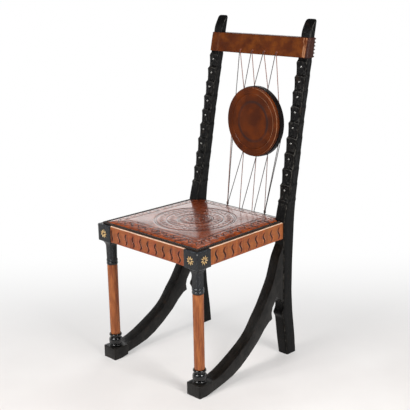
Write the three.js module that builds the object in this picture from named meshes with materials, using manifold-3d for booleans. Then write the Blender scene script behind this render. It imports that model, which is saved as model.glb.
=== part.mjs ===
// A black and tan side chair: a leather disc laced between a leather-wrapped crest and the rear
// rail, two raking rear posts carved in scales, curved side braces that run down into the front
// feet, turned front columns under square corner blocks, and a nailed leather seat.
// X runs to the sitter's left and right, Y from the front to the back, Z up from the floor.
// The sizes are in millimetres. While it is built, y = 0 is the front of the corner blocks.

import * as THREE from 'three';
import { mergeVertices } from 'three/addons/utils/BufferGeometryUtils.js';
import Module from 'manifold-3d';

const wasm = await Module();
wasm.setup();

// Clearances
const fitGap = 0.3;            // between pieces that touch
const cutOverrun = 2;          // how far a cutter runs past the face that it opens

// The whole chair
const seatHeight = 460;        // top of the seat frame
const chairHeight = 1083;      // top of the rear posts
const frontHalfWidth = 226;    // middle of the chair to the outer face of a corner block
const rearHalfWidth = 216.5;   // middle of the chair to the outer face of a rear post
const sideDepth = 396;         // front of the corner blocks to the front of the rear posts

// Rear posts: stile and rear leg are one board
const postWidth = 39;
const postDepth = 50;          // at the seat
const postLean = 7.5;          // how far each post leans in from the seat to its top
const postEdge = 2;            // its chamfered arrises
const backRake = 109;          // how far the back of a post moves back from the seat to its shoulder
const footKickFront = 22;      // how far the front of the rear foot stands behind the post's front
const footKickRear = 14;
const legRearShares = [[0, 1], [0.13, 0.64], [0.33, -0.25], [0.48, -0.6], [0.7, -0.5], [0.91, -0.14], [1, 0]];
const legFrontShares = [[0, 1], [0.12, 0.55], [0.295, 0.05], [0.33, -0.41], [0.358, 0],
  [0.385, 0.12], [0.413, 0], [1, 0]];
const stileRearShares = [[0, 0], [0.064, 0.04], [0.176, 0.13], [0.288, 0.25], [0.504, 0.454],
  [0.656, 0.63], [0.792, 0.785], [0.912, 0.908], [0.984, 1], [1, 1.02]];
const postSettle = 0.6;        // share of the way to the crest over which the topmost ledge ends

// Carved scales down the front of each post
const scaleCount = 9;
const scaleBend = 1.03;        // power that makes the lower scales a little taller
const ledgeUnderCrest = 10;    // crest down to the topmost ledge
const plainStretch = 67;       // seat frame up to the lowest ledge
const stileTopDepth = 23;      // depth of the post's ground at the topmost ledge
const stileLowDepth = 37;      // and at the lowest one
const ledgeDepth = 6;          // how far a ledge stands in front of the ground
const ledgeSide = 1.4;         // and at the sides
const ledgeRiser = 9;          // height over which the ground steps out to the next ledge
const studPlaceShare = 0.47;   // a stud's place, of the way down its scale
const studRadius = 3.4;
const studRise = 2.2;

// The finial of a post, over the crest
const finialRise = 3;          // crest up to where it starts to bend
const finialTopDepth = 4.2;    // its small flat top
const finialTopHalf = 12;      // half the width of that top
const finialChamfer = 9;       // height of the chamfer that leads to it
const finialBend = 1.7;        // power that bends its front backwards

// Side braces and front feet
const braceInset = 3;          // its outer face inside the post's
const braceFootInset = 0.4;    // and inside the foot's, which it runs into
const braceWidth = 34.5;       // at the post
const braceFootWidth = 45;
const braceFrontShares = [[0.965, 0.785], [0.957, 0.772], [0.937, 0.735], [0.889, 0.617], [0.826, 0.523],
  [0.755, 0.43], [0.697, 0.37], [0.62, 0.285], [0.513, 0.215], [0.318, 0.125], [0.2, 0.0885]];
const braceTopShare = 0.835;   // height where the brace leaves the post
const braceCrotchShares = [[1, 0.413], [0.972, 0.446], [0.947, 0.463], [0.919, 0.476], [0.904, 0.452],
  [0.869, 0.411], [0.856, 0.372], [0.864, 0.326]];
const braceUnderShares = [[0.864, 0.326], [0.795, 0.3], [0.689, 0.213], [0.519, 0.109], [0.379, 0.051],
  [0.249, 0.026], [0.185, 0.0145], [0.12, 0.005]];
const braceSole = 31.656;      // how far back the brace's underside lies on the floor
const footHeight = 39;
const footSole = 32;           // how far its flat sole runs back
const footLift = 5;            // the sole's rise from there to the back of the foot
const footEdge = 3;

// Corner blocks and front columns
const blockSize = 58;
const blockHeight = 55;
const blockEdge = 2;
const legTopHalf = 15;       // chamfered leg under the block
const legLowHalf = 14.3;
const legChamfer = 5.5;
const legArch = 20;            // height of the hollow between block and leg
const collarTop = 342;         // the two black collars under the leg
const collarFoot = 322.5;
const collarRadius = 18.3;
const collarGroove = 2;
const columnTopRadius = 16.9;
const columnFootRadius = 16.3;
const columnFoot = 82;
const spigotRadius = 9;        // round tenons of the columns and bulbs
const spigotLength = 17;
const ringRadius = 20.8;       // black ring under the column
const ringHeight = 8;
const neckRadius = 16.5;
const neckHeight = 4;
const bulbRadius = 22.4;
const bulbHeight = 24;
const bulbCollarRadius = 21;
const starRadius = 15;
const starRootRadius = 7;
const starPoints = 9;
const starDepth = 2;
const starProud = 0.4;
const starDrop = 28.5;           // below the top of the seat frame
const starEye = 2.4;           // radius of its dark middle
const pinRadius = 1.9;         // pale pin in the outer front corner of each block
const pinLength = 9;
const pinProud = 0.6;
const pinDrop = 5;

// Rails of the seat frame
const railHeight = 53.5;
const railThickness = 22;
const railInset = 4;           // behind the faces of the corner blocks
const rearRailInset = 4;       // behind the front of the rear posts
const rearRailDepth = 34;
const tenonThickness = 10;
const tenonLength = 15;
const tenonShoulder = 10;      // above and below a tenon
const frontGrooves = 10;       // wavy grooves carved across the front rail
const frontGrooveStart = 5.2;  // the left end of the rail to the first one
const frontGrooveEnd = 21;     // the last one to its right end
const sideGrooves = 9;         // and across each side rail
const sideGrooveStart = 26;
const sideGrooveEnd = 22;
const grooveHeight = 38;
const grooveDrop = 11;         // top of the grooves below the top of the rail
const grooveSway = 2.6;        // how far they wave to each side
const grooveWidth = 3.2;
const grooveDepth = 2;

// Seat
const ledgeWidth = 8.5;        // bare top of the rails round the seat
const bandWidth = 9;           // black nailing band
const bandHeight = 2.6;
const padEdge = 3.2;           // leather edge over the frame
const padCrown = 9;            // middle of the seat over its edge
const padTongue = 22;          // how far the seat runs back between the posts
const padTongueGap = 3;        // beside the posts
const boardThickness = 12;
const ledgerHeight = 14;
const ledgerThickness = 12;

// Crest
const crestDrop = 56;          // top of the posts down to the top of the crest
const crestHeight = 62;
const leatherThickness = 2.8;
const crestRound = 5;          // its leather bends round the posts
const boardDrop = 2;           // top and bottom of the board behind the leather's edges
const crestTenonHeight = 34;
const laceBumps = 5;
const laceRadius = 2.8;
const laceCord = 1.6;

// Disc and its lacing
const discPlaceShare = 0.57;   // its middle, of the way from the seat frame up to the crest
const discShift = 8;           // middle of the disc to the right of the chair's
const discHangShare = 0.95;    // of the way from the rail's holes back to the crest's
const discSlope = 0.03;        // how much it leans back
const discTurn = 2.2;          // degrees that it has turned on its lacing
const discRadius = 114.6;
const discShell = 9;           // thickness of the leather-covered front
const plateRadius = 116.5;
const plateThickness = 21;
const rimHoleInset = 4.5;      // its lacing holes before its back
const discRingShares = [1, 0.965, 0.8, 0.785, 0.72, 0.7, 0.6, 0.58];
const discStepShares = [0.35, 0, 0, 0.16, 0.16, 0.3, 0.3, 0.18];
const crestLacingShift = 7;    // the lacing hangs a little to the right of the middle
const railLacingShift = 13.5;
const cordRadius = 1.15;
const cordHole = 3.1;          // radius of a lacing hole in the crest and the rail
const rimHole = 1.2;           // and in the rim of the disc
const cordKnot = 1.95;         // radius of the loop where two strands meet at the rim
const holeDepth = 8;
const crestHoleRise = 11;      // lacing holes over the lower edge of the crest
const crestHolePitch = 52;
const railHolePitch = 55.5;
const railHoleDrop = 38;       // in the back of the rear rail, below the seat frame's top
const strandSpread = 2.1;      // between the two strands that share a hole
const upperAngles = [-62, -33, -8, 22, 52];
const lowerAngles = [-84, -72, -31, -1, 25, 54, 63];
const lowerStrandCounts = [3, 2, 2, 3];  // at each hole of the rail; neighbours share a rim hole
const cordSides = 8;

const blackWood = new THREE.MeshStandardMaterial({ color: 0x1c1b1a, roughness: 0.38, metalness: 0 });
const tanWood = new THREE.MeshStandardMaterial({ color: 0xa8643a, roughness: 0.5, metalness: 0 });
const innerWood = new THREE.MeshStandardMaterial({ color: 0x8a6a48, roughness: 0.8, metalness: 0 });
const brownLeather = new THREE.MeshStandardMaterial({ color: 0x6b3a1c, roughness: 0.5, metalness: 0 });
const seatLeather = new THREE.MeshStandardMaterial({ color: 0x7a3a1a, roughness: 0.4, metalness: 0 });
const bandLeather = new THREE.MeshStandardMaterial({ color: 0x17130f, roughness: 0.6, metalness: 0 });
const paleInlay = new THREE.MeshStandardMaterial({ color: 0xd2b06e, roughness: 0.5, metalness: 0 });
const boneInlay = new THREE.MeshStandardMaterial({ color: 0xb8b4ac, roughness: 0.35, metalness: 0.3 });
const paleCord = new THREE.MeshStandardMaterial({ color: 0xa08078, roughness: 0.85, metalness: 0 });

const chair = new THREE.Group();

const frontLegMiddle = blockSize / 2;

// Solids

function toSolid(geometry) {
  const bare = geometry.clone();
  bare.deleteAttribute('normal');
  bare.deleteAttribute('uv');
  const merged = mergeVertices(bare);
  return new wasm.Manifold(new wasm.Mesh({
    numProp: 3,
    vertProperties: new Float32Array(merged.attributes.position.array),
    triVerts: new Uint32Array(merged.index.array),
  }));
}

function toGeometry(solid) {
  const mesh = solid.getMesh();
  const geometry = new THREE.BufferGeometry();
  geometry.setAttribute('position', new THREE.BufferAttribute(mesh.vertProperties, mesh.numProp));
  geometry.setIndex(new THREE.BufferAttribute(mesh.triVerts, 1));
  geometry.computeVertexNormals();
  return geometry;
}

function joined(first, ...others) {
  return toGeometry(others.reduce((sum, other) => sum.add(toSolid(other)), toSolid(first)));
}

function carved(body, ...cutters) {
  return toGeometry(cutters.reduce((rest, cutter) => rest.subtract(toSolid(cutter)), toSolid(body)));
}

function addPiece(name, geometry, material) {
  const mesh = new THREE.Mesh(geometry, material);
  mesh.name = name;
  chair.add(mesh);
  return mesh;
}

function box(x0, x1, y0, y1, z0, z1) {
  const geometry = new THREE.BoxGeometry(Math.abs(x1 - x0), y1 - y0, z1 - z0);
  return geometry.translate((x0 + x1) / 2, (y0 + y1) / 2, (z0 + z1) / 2);
}

function grown(range, by) {
  return [Math.min(range[0], range[1]) - by, Math.max(range[0], range[1]) + by];
}

// A closed skin over rings that each run anticlockwise, seen from beyond the last one
function loft(rings) {
  const count = rings[0].length;
  const index = [];
  for (let level = 0; level < rings.length - 1; level += 1) {
    for (let side = 0; side < count; side += 1) {
      const a = level * count + side;
      const b = level * count + (side + 1) % count;
      index.push(a, b, b + count, a, b + count, a + count);
    }
  }
  const last = (rings.length - 1) * count;
  for (let side = 1; side < count - 1; side += 1) {
    index.push(0, side + 1, side, last, last + side, last + side + 1);
  }
  const geometry = new THREE.BufferGeometry();
  const points = rings.flat().flatMap((point) => [point.x, point.y, point.z]);
  geometry.setAttribute('position', new THREE.Float32BufferAttribute(points, 3));
  geometry.setIndex(index);
  return geometry;
}

// A level rectangle with cut corners
function chamferedRing(xRange, yRange, z, edge) {
  const [x0, x1] = xRange;
  const [y0, y1] = yRange;
  const corners = [[x1, y0 + edge], [x1, y1 - edge], [x1 - edge, y1], [x0 + edge, y1],
    [x0, y1 - edge], [x0, y0 + edge], [x0 + edge, y0], [x1 - edge, y0]];
  return corners.map(([x, y]) => new THREE.Vector3(x, y, z));
}

// A side outline, as points of depth and height, given a width between two places across the chair
function sideBoard(outline, x0, x1) {
  const shape = new THREE.Shape(outline.map(([y, z]) => new THREE.Vector2(y, z)));
  const start = Math.min(x0, x1);
  const geometry = new THREE.ExtrudeGeometry(shape, { depth: Math.abs(x1 - x0), bevelEnabled: false });
  const across = new THREE.Matrix4().makeBasis(
    new THREE.Vector3(0, 1, 0), new THREE.Vector3(0, 0, 1), new THREE.Vector3(1, 0, 0),
  );
  return geometry.applyMatrix4(across).translate(start, 0, 0);
}

// A turned piece round a vertical line: its outline as points of radius and height
function turned(outline, x, y, segments = 24) {
  const points = outline.map(([radius, height]) => new THREE.Vector2(radius, height));
  const geometry = new THREE.LatheGeometry(points, segments);
  return geometry.rotateX(Math.PI / 2).translate(x, y, 0);
}

// The plan narrows from the corner blocks to the rear posts
const planTaper = (frontHalfWidth - rearHalfWidth) / (sideDepth - blockSize);

function tapered(geometry, side) {
  const place = geometry.attributes.position;
  for (let i = 0; i < place.count; i += 1) {
    place.setX(i, place.getX(i) - side * planTaper * (place.getY(i) - blockSize));
  }
  return geometry;
}

function fromTable(table, at) {
  const next = table.findIndex(([share]) => share >= at);
  if (next < 0) return table.at(-1)[1];
  if (next === 0) return table[0][1];
  const [shareA, valueA] = table[next - 1];
  const [shareB, valueB] = table[next];
  return valueA + (valueB - valueA) * (at - shareA) / (shareB - shareA);
}

// Places on a rear post

const stileHeight = chairHeight - seatHeight;
const crestTop = chairHeight - crestDrop;
const crestFoot = crestTop - crestHeight;
const topLedge = crestFoot - ledgeUnderCrest;
const lowestLedge = seatHeight + plainStretch;
const finialFoot = crestTop + finialRise;

function postRear(height) {
  const atSeat = sideDepth + postDepth;
  if (height <= seatHeight) return atSeat + footKickRear * fromTable(legRearShares, height / seatHeight);
  return atSeat + backRake * fromTable(stileRearShares, (height - seatHeight) / stileHeight);
}

function postOuter(height) {
  return rearHalfWidth - postLean * Math.max(0, height - seatHeight) / stileHeight;
}

function postInner(height) {
  return postOuter(height) - postWidth;
}

function scaleLedge(number) {
  return topLedge - (topLedge - lowestLedge) * (number / scaleCount) ** scaleBend;
}

function groundFront(height) {
  const low = postRear(lowestLedge) - stileLowDepth;
  const top = postRear(topLedge) - stileTopDepth;
  return low + (top - low) * (height - lowestLedge) / (topLedge - lowestLedge);
}

function finialFront(share) {
  const foot = groundFront(finialFoot);
  return foot + (postRear(chairHeight) - finialTopDepth - foot) * share ** finialBend;
}

function postSection(side, height, front, swell = 0) {
  const xRange = grown([side * postInner(height), side * postOuter(height)], swell);
  return chamferedRing(xRange, [front, postRear(height)], height, postEdge);
}

// Rear posts

function legSections(side) {
  const heights = [...new Set([...legRearShares, ...legFrontShares].map(([share]) => share))];
  return heights.sort((a, b) => a - b).map((share) => {
    const front = sideDepth + footKickFront * fromTable(legFrontShares, share);
    return postSection(side, share * seatHeight, front);
  });
}

function scaleSections(side) {
  const sections = [];
  for (let number = scaleCount; number > 0; number -= 1) {
    const lowLedge = scaleLedge(number);
    const scaleFoot = lowLedge + ledgeRiser;
    sections.push(postSection(side, lowLedge, groundFront(lowLedge) - ledgeDepth, ledgeSide));
    sections.push(postSection(side, scaleFoot, groundFront(scaleFoot)));
  }
  sections.push(postSection(side, topLedge, groundFront(topLedge) - ledgeDepth, ledgeSide));
  const settled = topLedge + postSettle * (crestFoot - topLedge);
  sections.push(postSection(side, settled, groundFront(settled)));
  return sections;
}

function plainSection(side) {
  const underLedge = lowestLedge - postSettle * (crestFoot - topLedge);
  return postSection(side, underLedge, groundFront(lowestLedge) - ledgeDepth);
}

function finialSections(side) {
  const shoulder = chairHeight - finialChamfer;
  const reach = (shoulder - finialFoot) / (chairHeight - finialFoot);
  const bends = [0, 0.3, 0.55, 0.8, 1].map((share) => postSection(
    side, finialFoot + share * (shoulder - finialFoot), finialFront(share * reach),
  ));
  const middle = side * (postOuter(chairHeight) + postInner(chairHeight)) / 2;
  const topRange = grown([middle, middle], finialTopHalf);
  const front = postRear(chairHeight) - finialTopDepth;
  const edge = Math.min(postEdge, finialTopDepth / 3);
  return [...bends, chamferedRing(topRange, [front, postRear(chairHeight)], chairHeight, edge)];
}

function railMortises(side) {
  return [sideRailTenon(side, 'rear', fitGap), rearRailTenon(side, fitGap), crestTenon(side, fitGap)];
}

function rearPost(side) {
  const sections = [
    ...legSections(side), plainSection(side), ...scaleSections(side), ...finialSections(side),
  ];
  return carved(loft(sections), ...railMortises(side));
}

// Tenons, which the mortises repeat with a clearance

function tenonHeights(by) {
  return grown([seatHeight - railHeight + tenonShoulder, seatHeight - tenonShoulder], by);
}

function sideRailTenon(side, end, by) {
  const outer = frontHalfWidth - railInset - (railThickness - tenonThickness) / 2;
  const [x0, x1] = grown([side * outer, side * (outer - tenonThickness)], by);
  const reach = tenonLength + by;
  const [y0, y1] = end === 'rear'
    ? [sideDepth - cutOverrun, sideDepth + reach]
    : [blockSize - reach, blockSize + cutOverrun];
  return tapered(box(x0, x1, y0, y1, ...tenonHeights(by)), side);
}

function rearRailTenon(side, by) {
  const middle = sideDepth + rearRailInset + rearRailDepth / 2;
  const [y0, y1] = grown([middle, middle], tenonThickness / 2 + by);
  const face = postInner(seatHeight);
  return box(side * (face - cutOverrun), side * (face + tenonLength + by), y0, y1, ...tenonHeights(by));
}

function frontRailTenon(side, by) {
  const middle = railInset + railThickness / 2;
  const [y0, y1] = grown([middle, middle], tenonThickness / 2 + by);
  const face = frontHalfWidth - blockSize;
  return box(side * (face - cutOverrun), side * (face + tenonLength + by), y0, y1, ...tenonHeights(by));
}

const crestMiddle = (crestFoot + crestTop) / 2;

function crestTenon(side, by) {
  const heights = grown([crestMiddle, crestMiddle], crestTenonHeight / 2 + by);
  const face = postInner(crestMiddle);
  const rings = heights.map((height) => {
    const middle = (groundFront(height) + postRear(height)) / 2;
    const xRange = grown([side * (face - cutOverrun), side * (face + tenonLength)], by);
    return chamferedRing(xRange, grown([middle, middle], tenonThickness / 2 + by), height, fitGap);
  });
  return loft(rings);
}

// Side braces with their front feet

function sharePlaces(shares) {
  return shares.map(([depth, height]) => [depth * (sideDepth - fitGap), height * seatHeight]);
}

function smooth(places, steps) {
  const curve = new THREE.SplineCurve(places.map(([y, z]) => new THREE.Vector2(y, z)));
  return curve.getPoints(steps).map((point) => [point.x, point.y]);
}

function braceOutline() {
  const back = sideDepth - fitGap;
  const footTop = footHeight - fitGap;
  const front = smooth([...sharePlaces(braceFrontShares).slice(1), [blockSize, footTop]], 20);
  const under = smooth([...sharePlaces(braceUnderShares), [braceSole, 0]], 12);
  const middleOfFoot = blockSize / 2;
  return [
    [back, braceTopShare * seatHeight],
    ...sharePlaces(braceFrontShares.slice(0, 1)),
    ...front,
    [middleOfFoot, footTop],
    [middleOfFoot, 0],
    ...under.reverse().slice(0, -1),
    ...sharePlaces(braceCrotchShares).reverse(),
  ];
}

// The brace's outer face runs from inside the post to inside the foot
function splayed(geometry, side) {
  const atPost = rearHalfWidth - braceInset;
  const atFoot = frontHalfWidth - braceFootInset;
  const place = geometry.attributes.position;
  for (let i = 0; i < place.count; i += 1) {
    const forward = (sideDepth - place.getY(i)) / (sideDepth - frontLegMiddle);
    const widened = 1 + (braceFootWidth / braceWidth - 1) * forward;
    place.setX(i, place.getX(i) * widened + side * (atPost + (atFoot - atPost) * forward));
  }
  return geometry;
}

function frontFoot(side) {
  const inner = frontHalfWidth - blockSize;
  const xRange = grown([side * inner, side * frontHalfWidth], 0);
  const yRange = [0, blockSize];
  const smaller = (range) => grown(range, -footEdge / 2);
  return loft([
    chamferedRing(xRange, [0, footSole], 0, footEdge),
    chamferedRing(xRange, yRange, footLift, footEdge),
    chamferedRing(xRange, yRange, footHeight - footEdge / 2, footEdge),
    chamferedRing(smaller(xRange), smaller(yRange), footHeight, footEdge),
  ]);
}

function brace(side) {
  const bar = splayed(sideBoard(braceOutline(), -side * braceWidth, 0), side);
  const socket = turned(
    [[0, footHeight - spigotLength - fitGap], [spigotRadius + fitGap, footHeight - spigotLength - fitGap],
      [spigotRadius + fitGap, footHeight + cutOverrun], [0, footHeight + cutOverrun]],
    side * (frontHalfWidth - frontLegMiddle), frontLegMiddle,
  );
  return carved(joined(bar, frontFoot(side)), socket);
}

// Corner blocks with the chamfered leg and its collars

function cornerBlock(side) {
  const x = side * (frontHalfWidth - frontLegMiddle);
  const y = frontLegMiddle;
  const square = (reach, z, edge) => chamferedRing(grown([x, x], reach), grown([y, y], reach), z, edge);
  const half = blockSize / 2;
  const foot = seatHeight - blockHeight;
  const hollow = [1, 0.6, 0.3, 0.1, 0].map((share, step, shares) => {
    const reach = legTopHalf + (half - blockEdge * 2 - legTopHalf) * share ** 1.6;
    const height = foot - fitGap - legArch * step / (shares.length - 1);
    return square(reach, height, legChamfer - (legChamfer - blockEdge) * share);
  });
  const body = loft([
    square(legLowHalf, collarTop - collarGroove, legChamfer),
    ...hollow.reverse(),
    square(half - blockEdge / 2, foot, blockEdge),
    square(half, foot + blockEdge / 2, blockEdge),
    square(half, seatHeight - blockEdge / 2, blockEdge),
    square(half - blockEdge / 2, seatHeight, blockEdge),
  ]);
  const middle = (collarTop + collarFoot) / 2;
  const quarter = (collarTop - collarFoot) / 4;
  const collars = turned([
    [0, collarFoot], [collarRadius - collarGroove, collarFoot], [collarRadius, collarFoot + quarter / 2],
    [collarRadius, middle - quarter / 2], [collarRadius - collarGroove, middle],
    [collarRadius, middle + quarter / 2], [collarRadius, collarTop - quarter / 2],
    [collarRadius - collarGroove, collarTop], [0, collarTop],
  ], x, y);
  const socketTop = collarFoot + spigotLength + fitGap;
  const socket = turned([
    [0, collarFoot - cutOverrun], [spigotRadius + fitGap, collarFoot - cutOverrun],
    [spigotRadius + fitGap, socketTop], [0, socketTop],
  ], x, y);
  const pockets = ['front', 'outer'].map((face) => starInlay(side, face, fitGap));
  return carved(
    joined(body, collars), socket, sideRailTenon(side, 'front', fitGap), frontRailTenon(side, fitGap),
    ...pockets, cornerPin(side, fitGap),
  );
}

// A pale pin in the outer front corner, let in along the diagonal
function cornerPin(side, by) {
  const corner = new THREE.Vector3(side * frontHalfWidth, 0, seatHeight - pinDrop);
  const outwards = new THREE.Vector3(side, -1, 0).normalize();
  const edge = -blockEdge / Math.SQRT2;
  const proud = by ? cutOverrun : pinProud;
  return rod(
    corner.clone().addScaledVector(outwards, edge - pinLength - by),
    corner.clone().addScaledVector(outwards, edge + proud), pinRadius + by,
  );
}

// A pointed star let into a face of the corner block; its pocket is the same star with a clearance

function starShape(by) {
  const shape = new THREE.Shape();
  for (let corner = 0; corner < starPoints * 2; corner += 1) {
    const radius = (corner % 2 ? starRootRadius : starRadius) + by;
    const angle = Math.PI * corner / starPoints + Math.PI / 2;
    const place = [radius * Math.cos(angle), radius * Math.sin(angle)];
    if (corner) shape.lineTo(...place);
    else shape.moveTo(...place);
  }
  shape.closePath();
  return shape;
}

function starInlay(side, face, by) {
  const shape = starShape(by);
  const eye = new THREE.Path().absarc(0, 0, starEye, 0, Math.PI * 2, true);
  if (!by) shape.holes.push(eye);
  const depth = by ? starDepth + cutOverrun : starDepth - fitGap;
  const proud = by ? cutOverrun : starProud;
  const geometry = new THREE.ExtrudeGeometry(shape, { depth, bevelEnabled: false, curveSegments: 8 });
  geometry.translate(0, 0, proud - depth);
  const height = seatHeight - starDrop;
  const middle = frontHalfWidth - frontLegMiddle;
  if (face === 'front') {
    return geometry.rotateX(Math.PI / 2).translate(side * middle, 0, height);
  }
  geometry.rotateX(Math.PI / 2).rotateZ(side * Math.PI / 2);
  return geometry.translate(side * frontHalfWidth, frontLegMiddle, height);
}

// Columns and bulbs

function column(side) {
  const top = collarFoot - fitGap;
  const foot = columnFoot + fitGap;
  return turned([
    [0, foot - spigotLength], [spigotRadius, foot - spigotLength], [spigotRadius, foot],
    [columnFootRadius, foot], [columnTopRadius, top], [spigotRadius, top],
    [spigotRadius, top + spigotLength], [0, top + spigotLength],
  ], side * (frontHalfWidth - frontLegMiddle), frontLegMiddle);
}

function bulb(side) {
  const foot = footHeight + fitGap;
  const ringFoot = columnFoot - ringHeight;
  const neckFoot = ringFoot - neckHeight;
  const bulbFoot = neckFoot - bulbHeight;
  const outline = [[0, foot - spigotLength], [spigotRadius, foot - spigotLength], [spigotRadius, foot],
    [bulbCollarRadius, foot], [bulbCollarRadius, bulbFoot]];
  const rounded = (turn, waist, radius) => waist + (radius - waist) * Math.sin(turn);
  const risen = (turn, start, height) => start + height * (1 - Math.cos(turn)) / 2;
  const bulbSteps = 8;
  for (let step = 1; step < bulbSteps; step += 1) {
    const turn = Math.PI * step / bulbSteps;
    const waist = step < bulbSteps / 2 ? bulbCollarRadius : neckRadius;
    outline.push([rounded(turn, waist, bulbRadius), risen(turn, bulbFoot, bulbHeight)]);
  }
  outline.push([neckRadius, neckFoot], [neckRadius, ringFoot]);
  const ringSteps = 4;
  for (let step = 1; step < ringSteps; step += 1) {
    const turn = Math.PI * step / ringSteps;
    outline.push([rounded(turn, neckRadius, ringRadius), risen(turn, ringFoot, ringHeight)]);
  }
  const socketFloor = columnFoot - spigotLength - fitGap;
  outline.push([columnFootRadius, columnFoot], [spigotRadius + fitGap, columnFoot],
    [spigotRadius + fitGap, socketFloor], [0, socketFloor]);
  return turned(outline, side * (frontHalfWidth - frontLegMiddle), frontLegMiddle);
}

// Seat frame

function groovePlaces(first, last, count) {
  const pitch = (last - first) / (count - 1);
  return Array.from({ length: count }, (_, i) => first + pitch * i);
}

// The cutter for one wavy groove, in a face that looks to the front at y = 0
function wavyGroove() {
  const steps = 10;
  const top = seatHeight - grooveDrop;
  const middles = Array.from({ length: steps + 1 }, (_, i) => new THREE.Vector2(
    -grooveSway * Math.sin(Math.PI * 2 * i / steps), top - grooveHeight * (1 - i / steps),
  ));
  const left = middles.map((place) => new THREE.Vector2(place.x - grooveWidth / 2, place.y));
  const right = middles.map((place) => new THREE.Vector2(place.x + grooveWidth / 2, place.y)).reverse();
  const depth = grooveDepth + cutOverrun;
  const outline = new THREE.Shape([...left, ...right]);
  const geometry = new THREE.ExtrudeGeometry(outline, { depth, bevelEnabled: false });
  return geometry.rotateX(Math.PI / 2).translate(0, grooveDepth, 0);
}

function frontRail() {
  const half = frontHalfWidth - blockSize - fitGap;
  const body = box(-half, half, railInset, railInset + railThickness, seatHeight - railHeight, seatHeight);
  const grooves = groovePlaces(frontGrooveStart - half, half - frontGrooveEnd, frontGrooves).map(
    (x) => wavyGroove().translate(x, railInset, 0),
  );
  return carved(joined(body, frontRailTenon(1, 0), frontRailTenon(-1, 0)), ...grooves);
}

function sideRail(side) {
  const outer = frontHalfWidth - railInset;
  const body = box(
    side * (outer - railThickness), side * outer, blockSize + fitGap, sideDepth - fitGap,
    seatHeight - railHeight, seatHeight,
  );
  const places = groovePlaces(blockSize + sideGrooveStart, sideDepth - sideGrooveEnd, sideGrooves);
  const grooves = places.map((y) => tapered(
    wavyGroove().rotateZ(side * Math.PI / 2).translate(side * outer, y, 0), side,
  ));
  return carved(
    joined(tapered(body, side), sideRailTenon(side, 'front', 0), sideRailTenon(side, 'rear', 0)), ...grooves,
  );
}

const rearRailFront = sideDepth + rearRailInset;
const rearRailBack = rearRailFront + rearRailDepth;
const railHoleHeight = seatHeight - railHoleDrop;

function rearRail() {
  const half = postInner(seatHeight) - fitGap;
  const body = box(-half, half, rearRailFront, rearRailBack, seatHeight - railHeight, seatHeight);
  const holes = railHolePlaces().map((x) => rod(
    new THREE.Vector3(x, rearRailBack - holeDepth, railHoleHeight),
    new THREE.Vector3(x, rearRailBack + cutOverrun, railHoleHeight), cordHole,
  ));
  return carved(joined(body, rearRailTenon(1, 0), rearRailTenon(-1, 0)), ...holes);
}

const railInnerHalf = frontHalfWidth - railInset - railThickness;

function insetHalf(depth, inset) {
  return frontHalfWidth - railInset - inset - planTaper * (depth - blockSize);
}

function levelBoard(outline, foot, thickness) {
  const shape = new THREE.Shape(outline.map(([x, y]) => new THREE.Vector2(x, y)));
  return new THREE.ExtrudeGeometry(shape, { depth: thickness, bevelEnabled: false }).translate(0, 0, foot);
}

function mirrored(half) {
  return [...half, ...half.map(([x, y]) => [-x, y]).reverse()];
}

function seatBoard() {
  const blockInner = frontHalfWidth - blockSize - fitGap;
  const rearHalf = postInner(seatHeight) - fitGap;
  const railSide = railThickness + fitGap;
  return levelBoard(mirrored([
    [blockInner, railInset + railThickness + fitGap],
    [blockInner, blockSize + fitGap],
    [insetHalf(blockSize, railSide), blockSize + fitGap],
    [insetHalf(sideDepth, railSide), sideDepth - fitGap],
    [rearHalf, sideDepth - fitGap],
    [rearHalf, rearRailFront - fitGap],
  ]), seatHeight - boardThickness, boardThickness);
}

function ledger(side) {
  const top = seatHeight - boardThickness - fitGap;
  const outer = railInnerHalf - fitGap;
  const strip = box(
    side * (outer - ledgerThickness), side * outer, blockSize + fitGap, sideDepth - fitGap,
    top - ledgerHeight, top,
  );
  return tapered(strip, side);
}

// The seat: a crowned leather pad whose sides draw in to its nailed edge

const padInset = ledgeWidth + bandWidth;
const padFront = railInset + padInset;
const padBack = sideDepth - fitGap - padTongueGap;
const padEnd = sideDepth + padTongue;

function padHalf(depth) {
  return depth <= padBack ? insetHalf(depth, padInset) : postInner(seatHeight) - padTongueGap;
}

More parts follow.
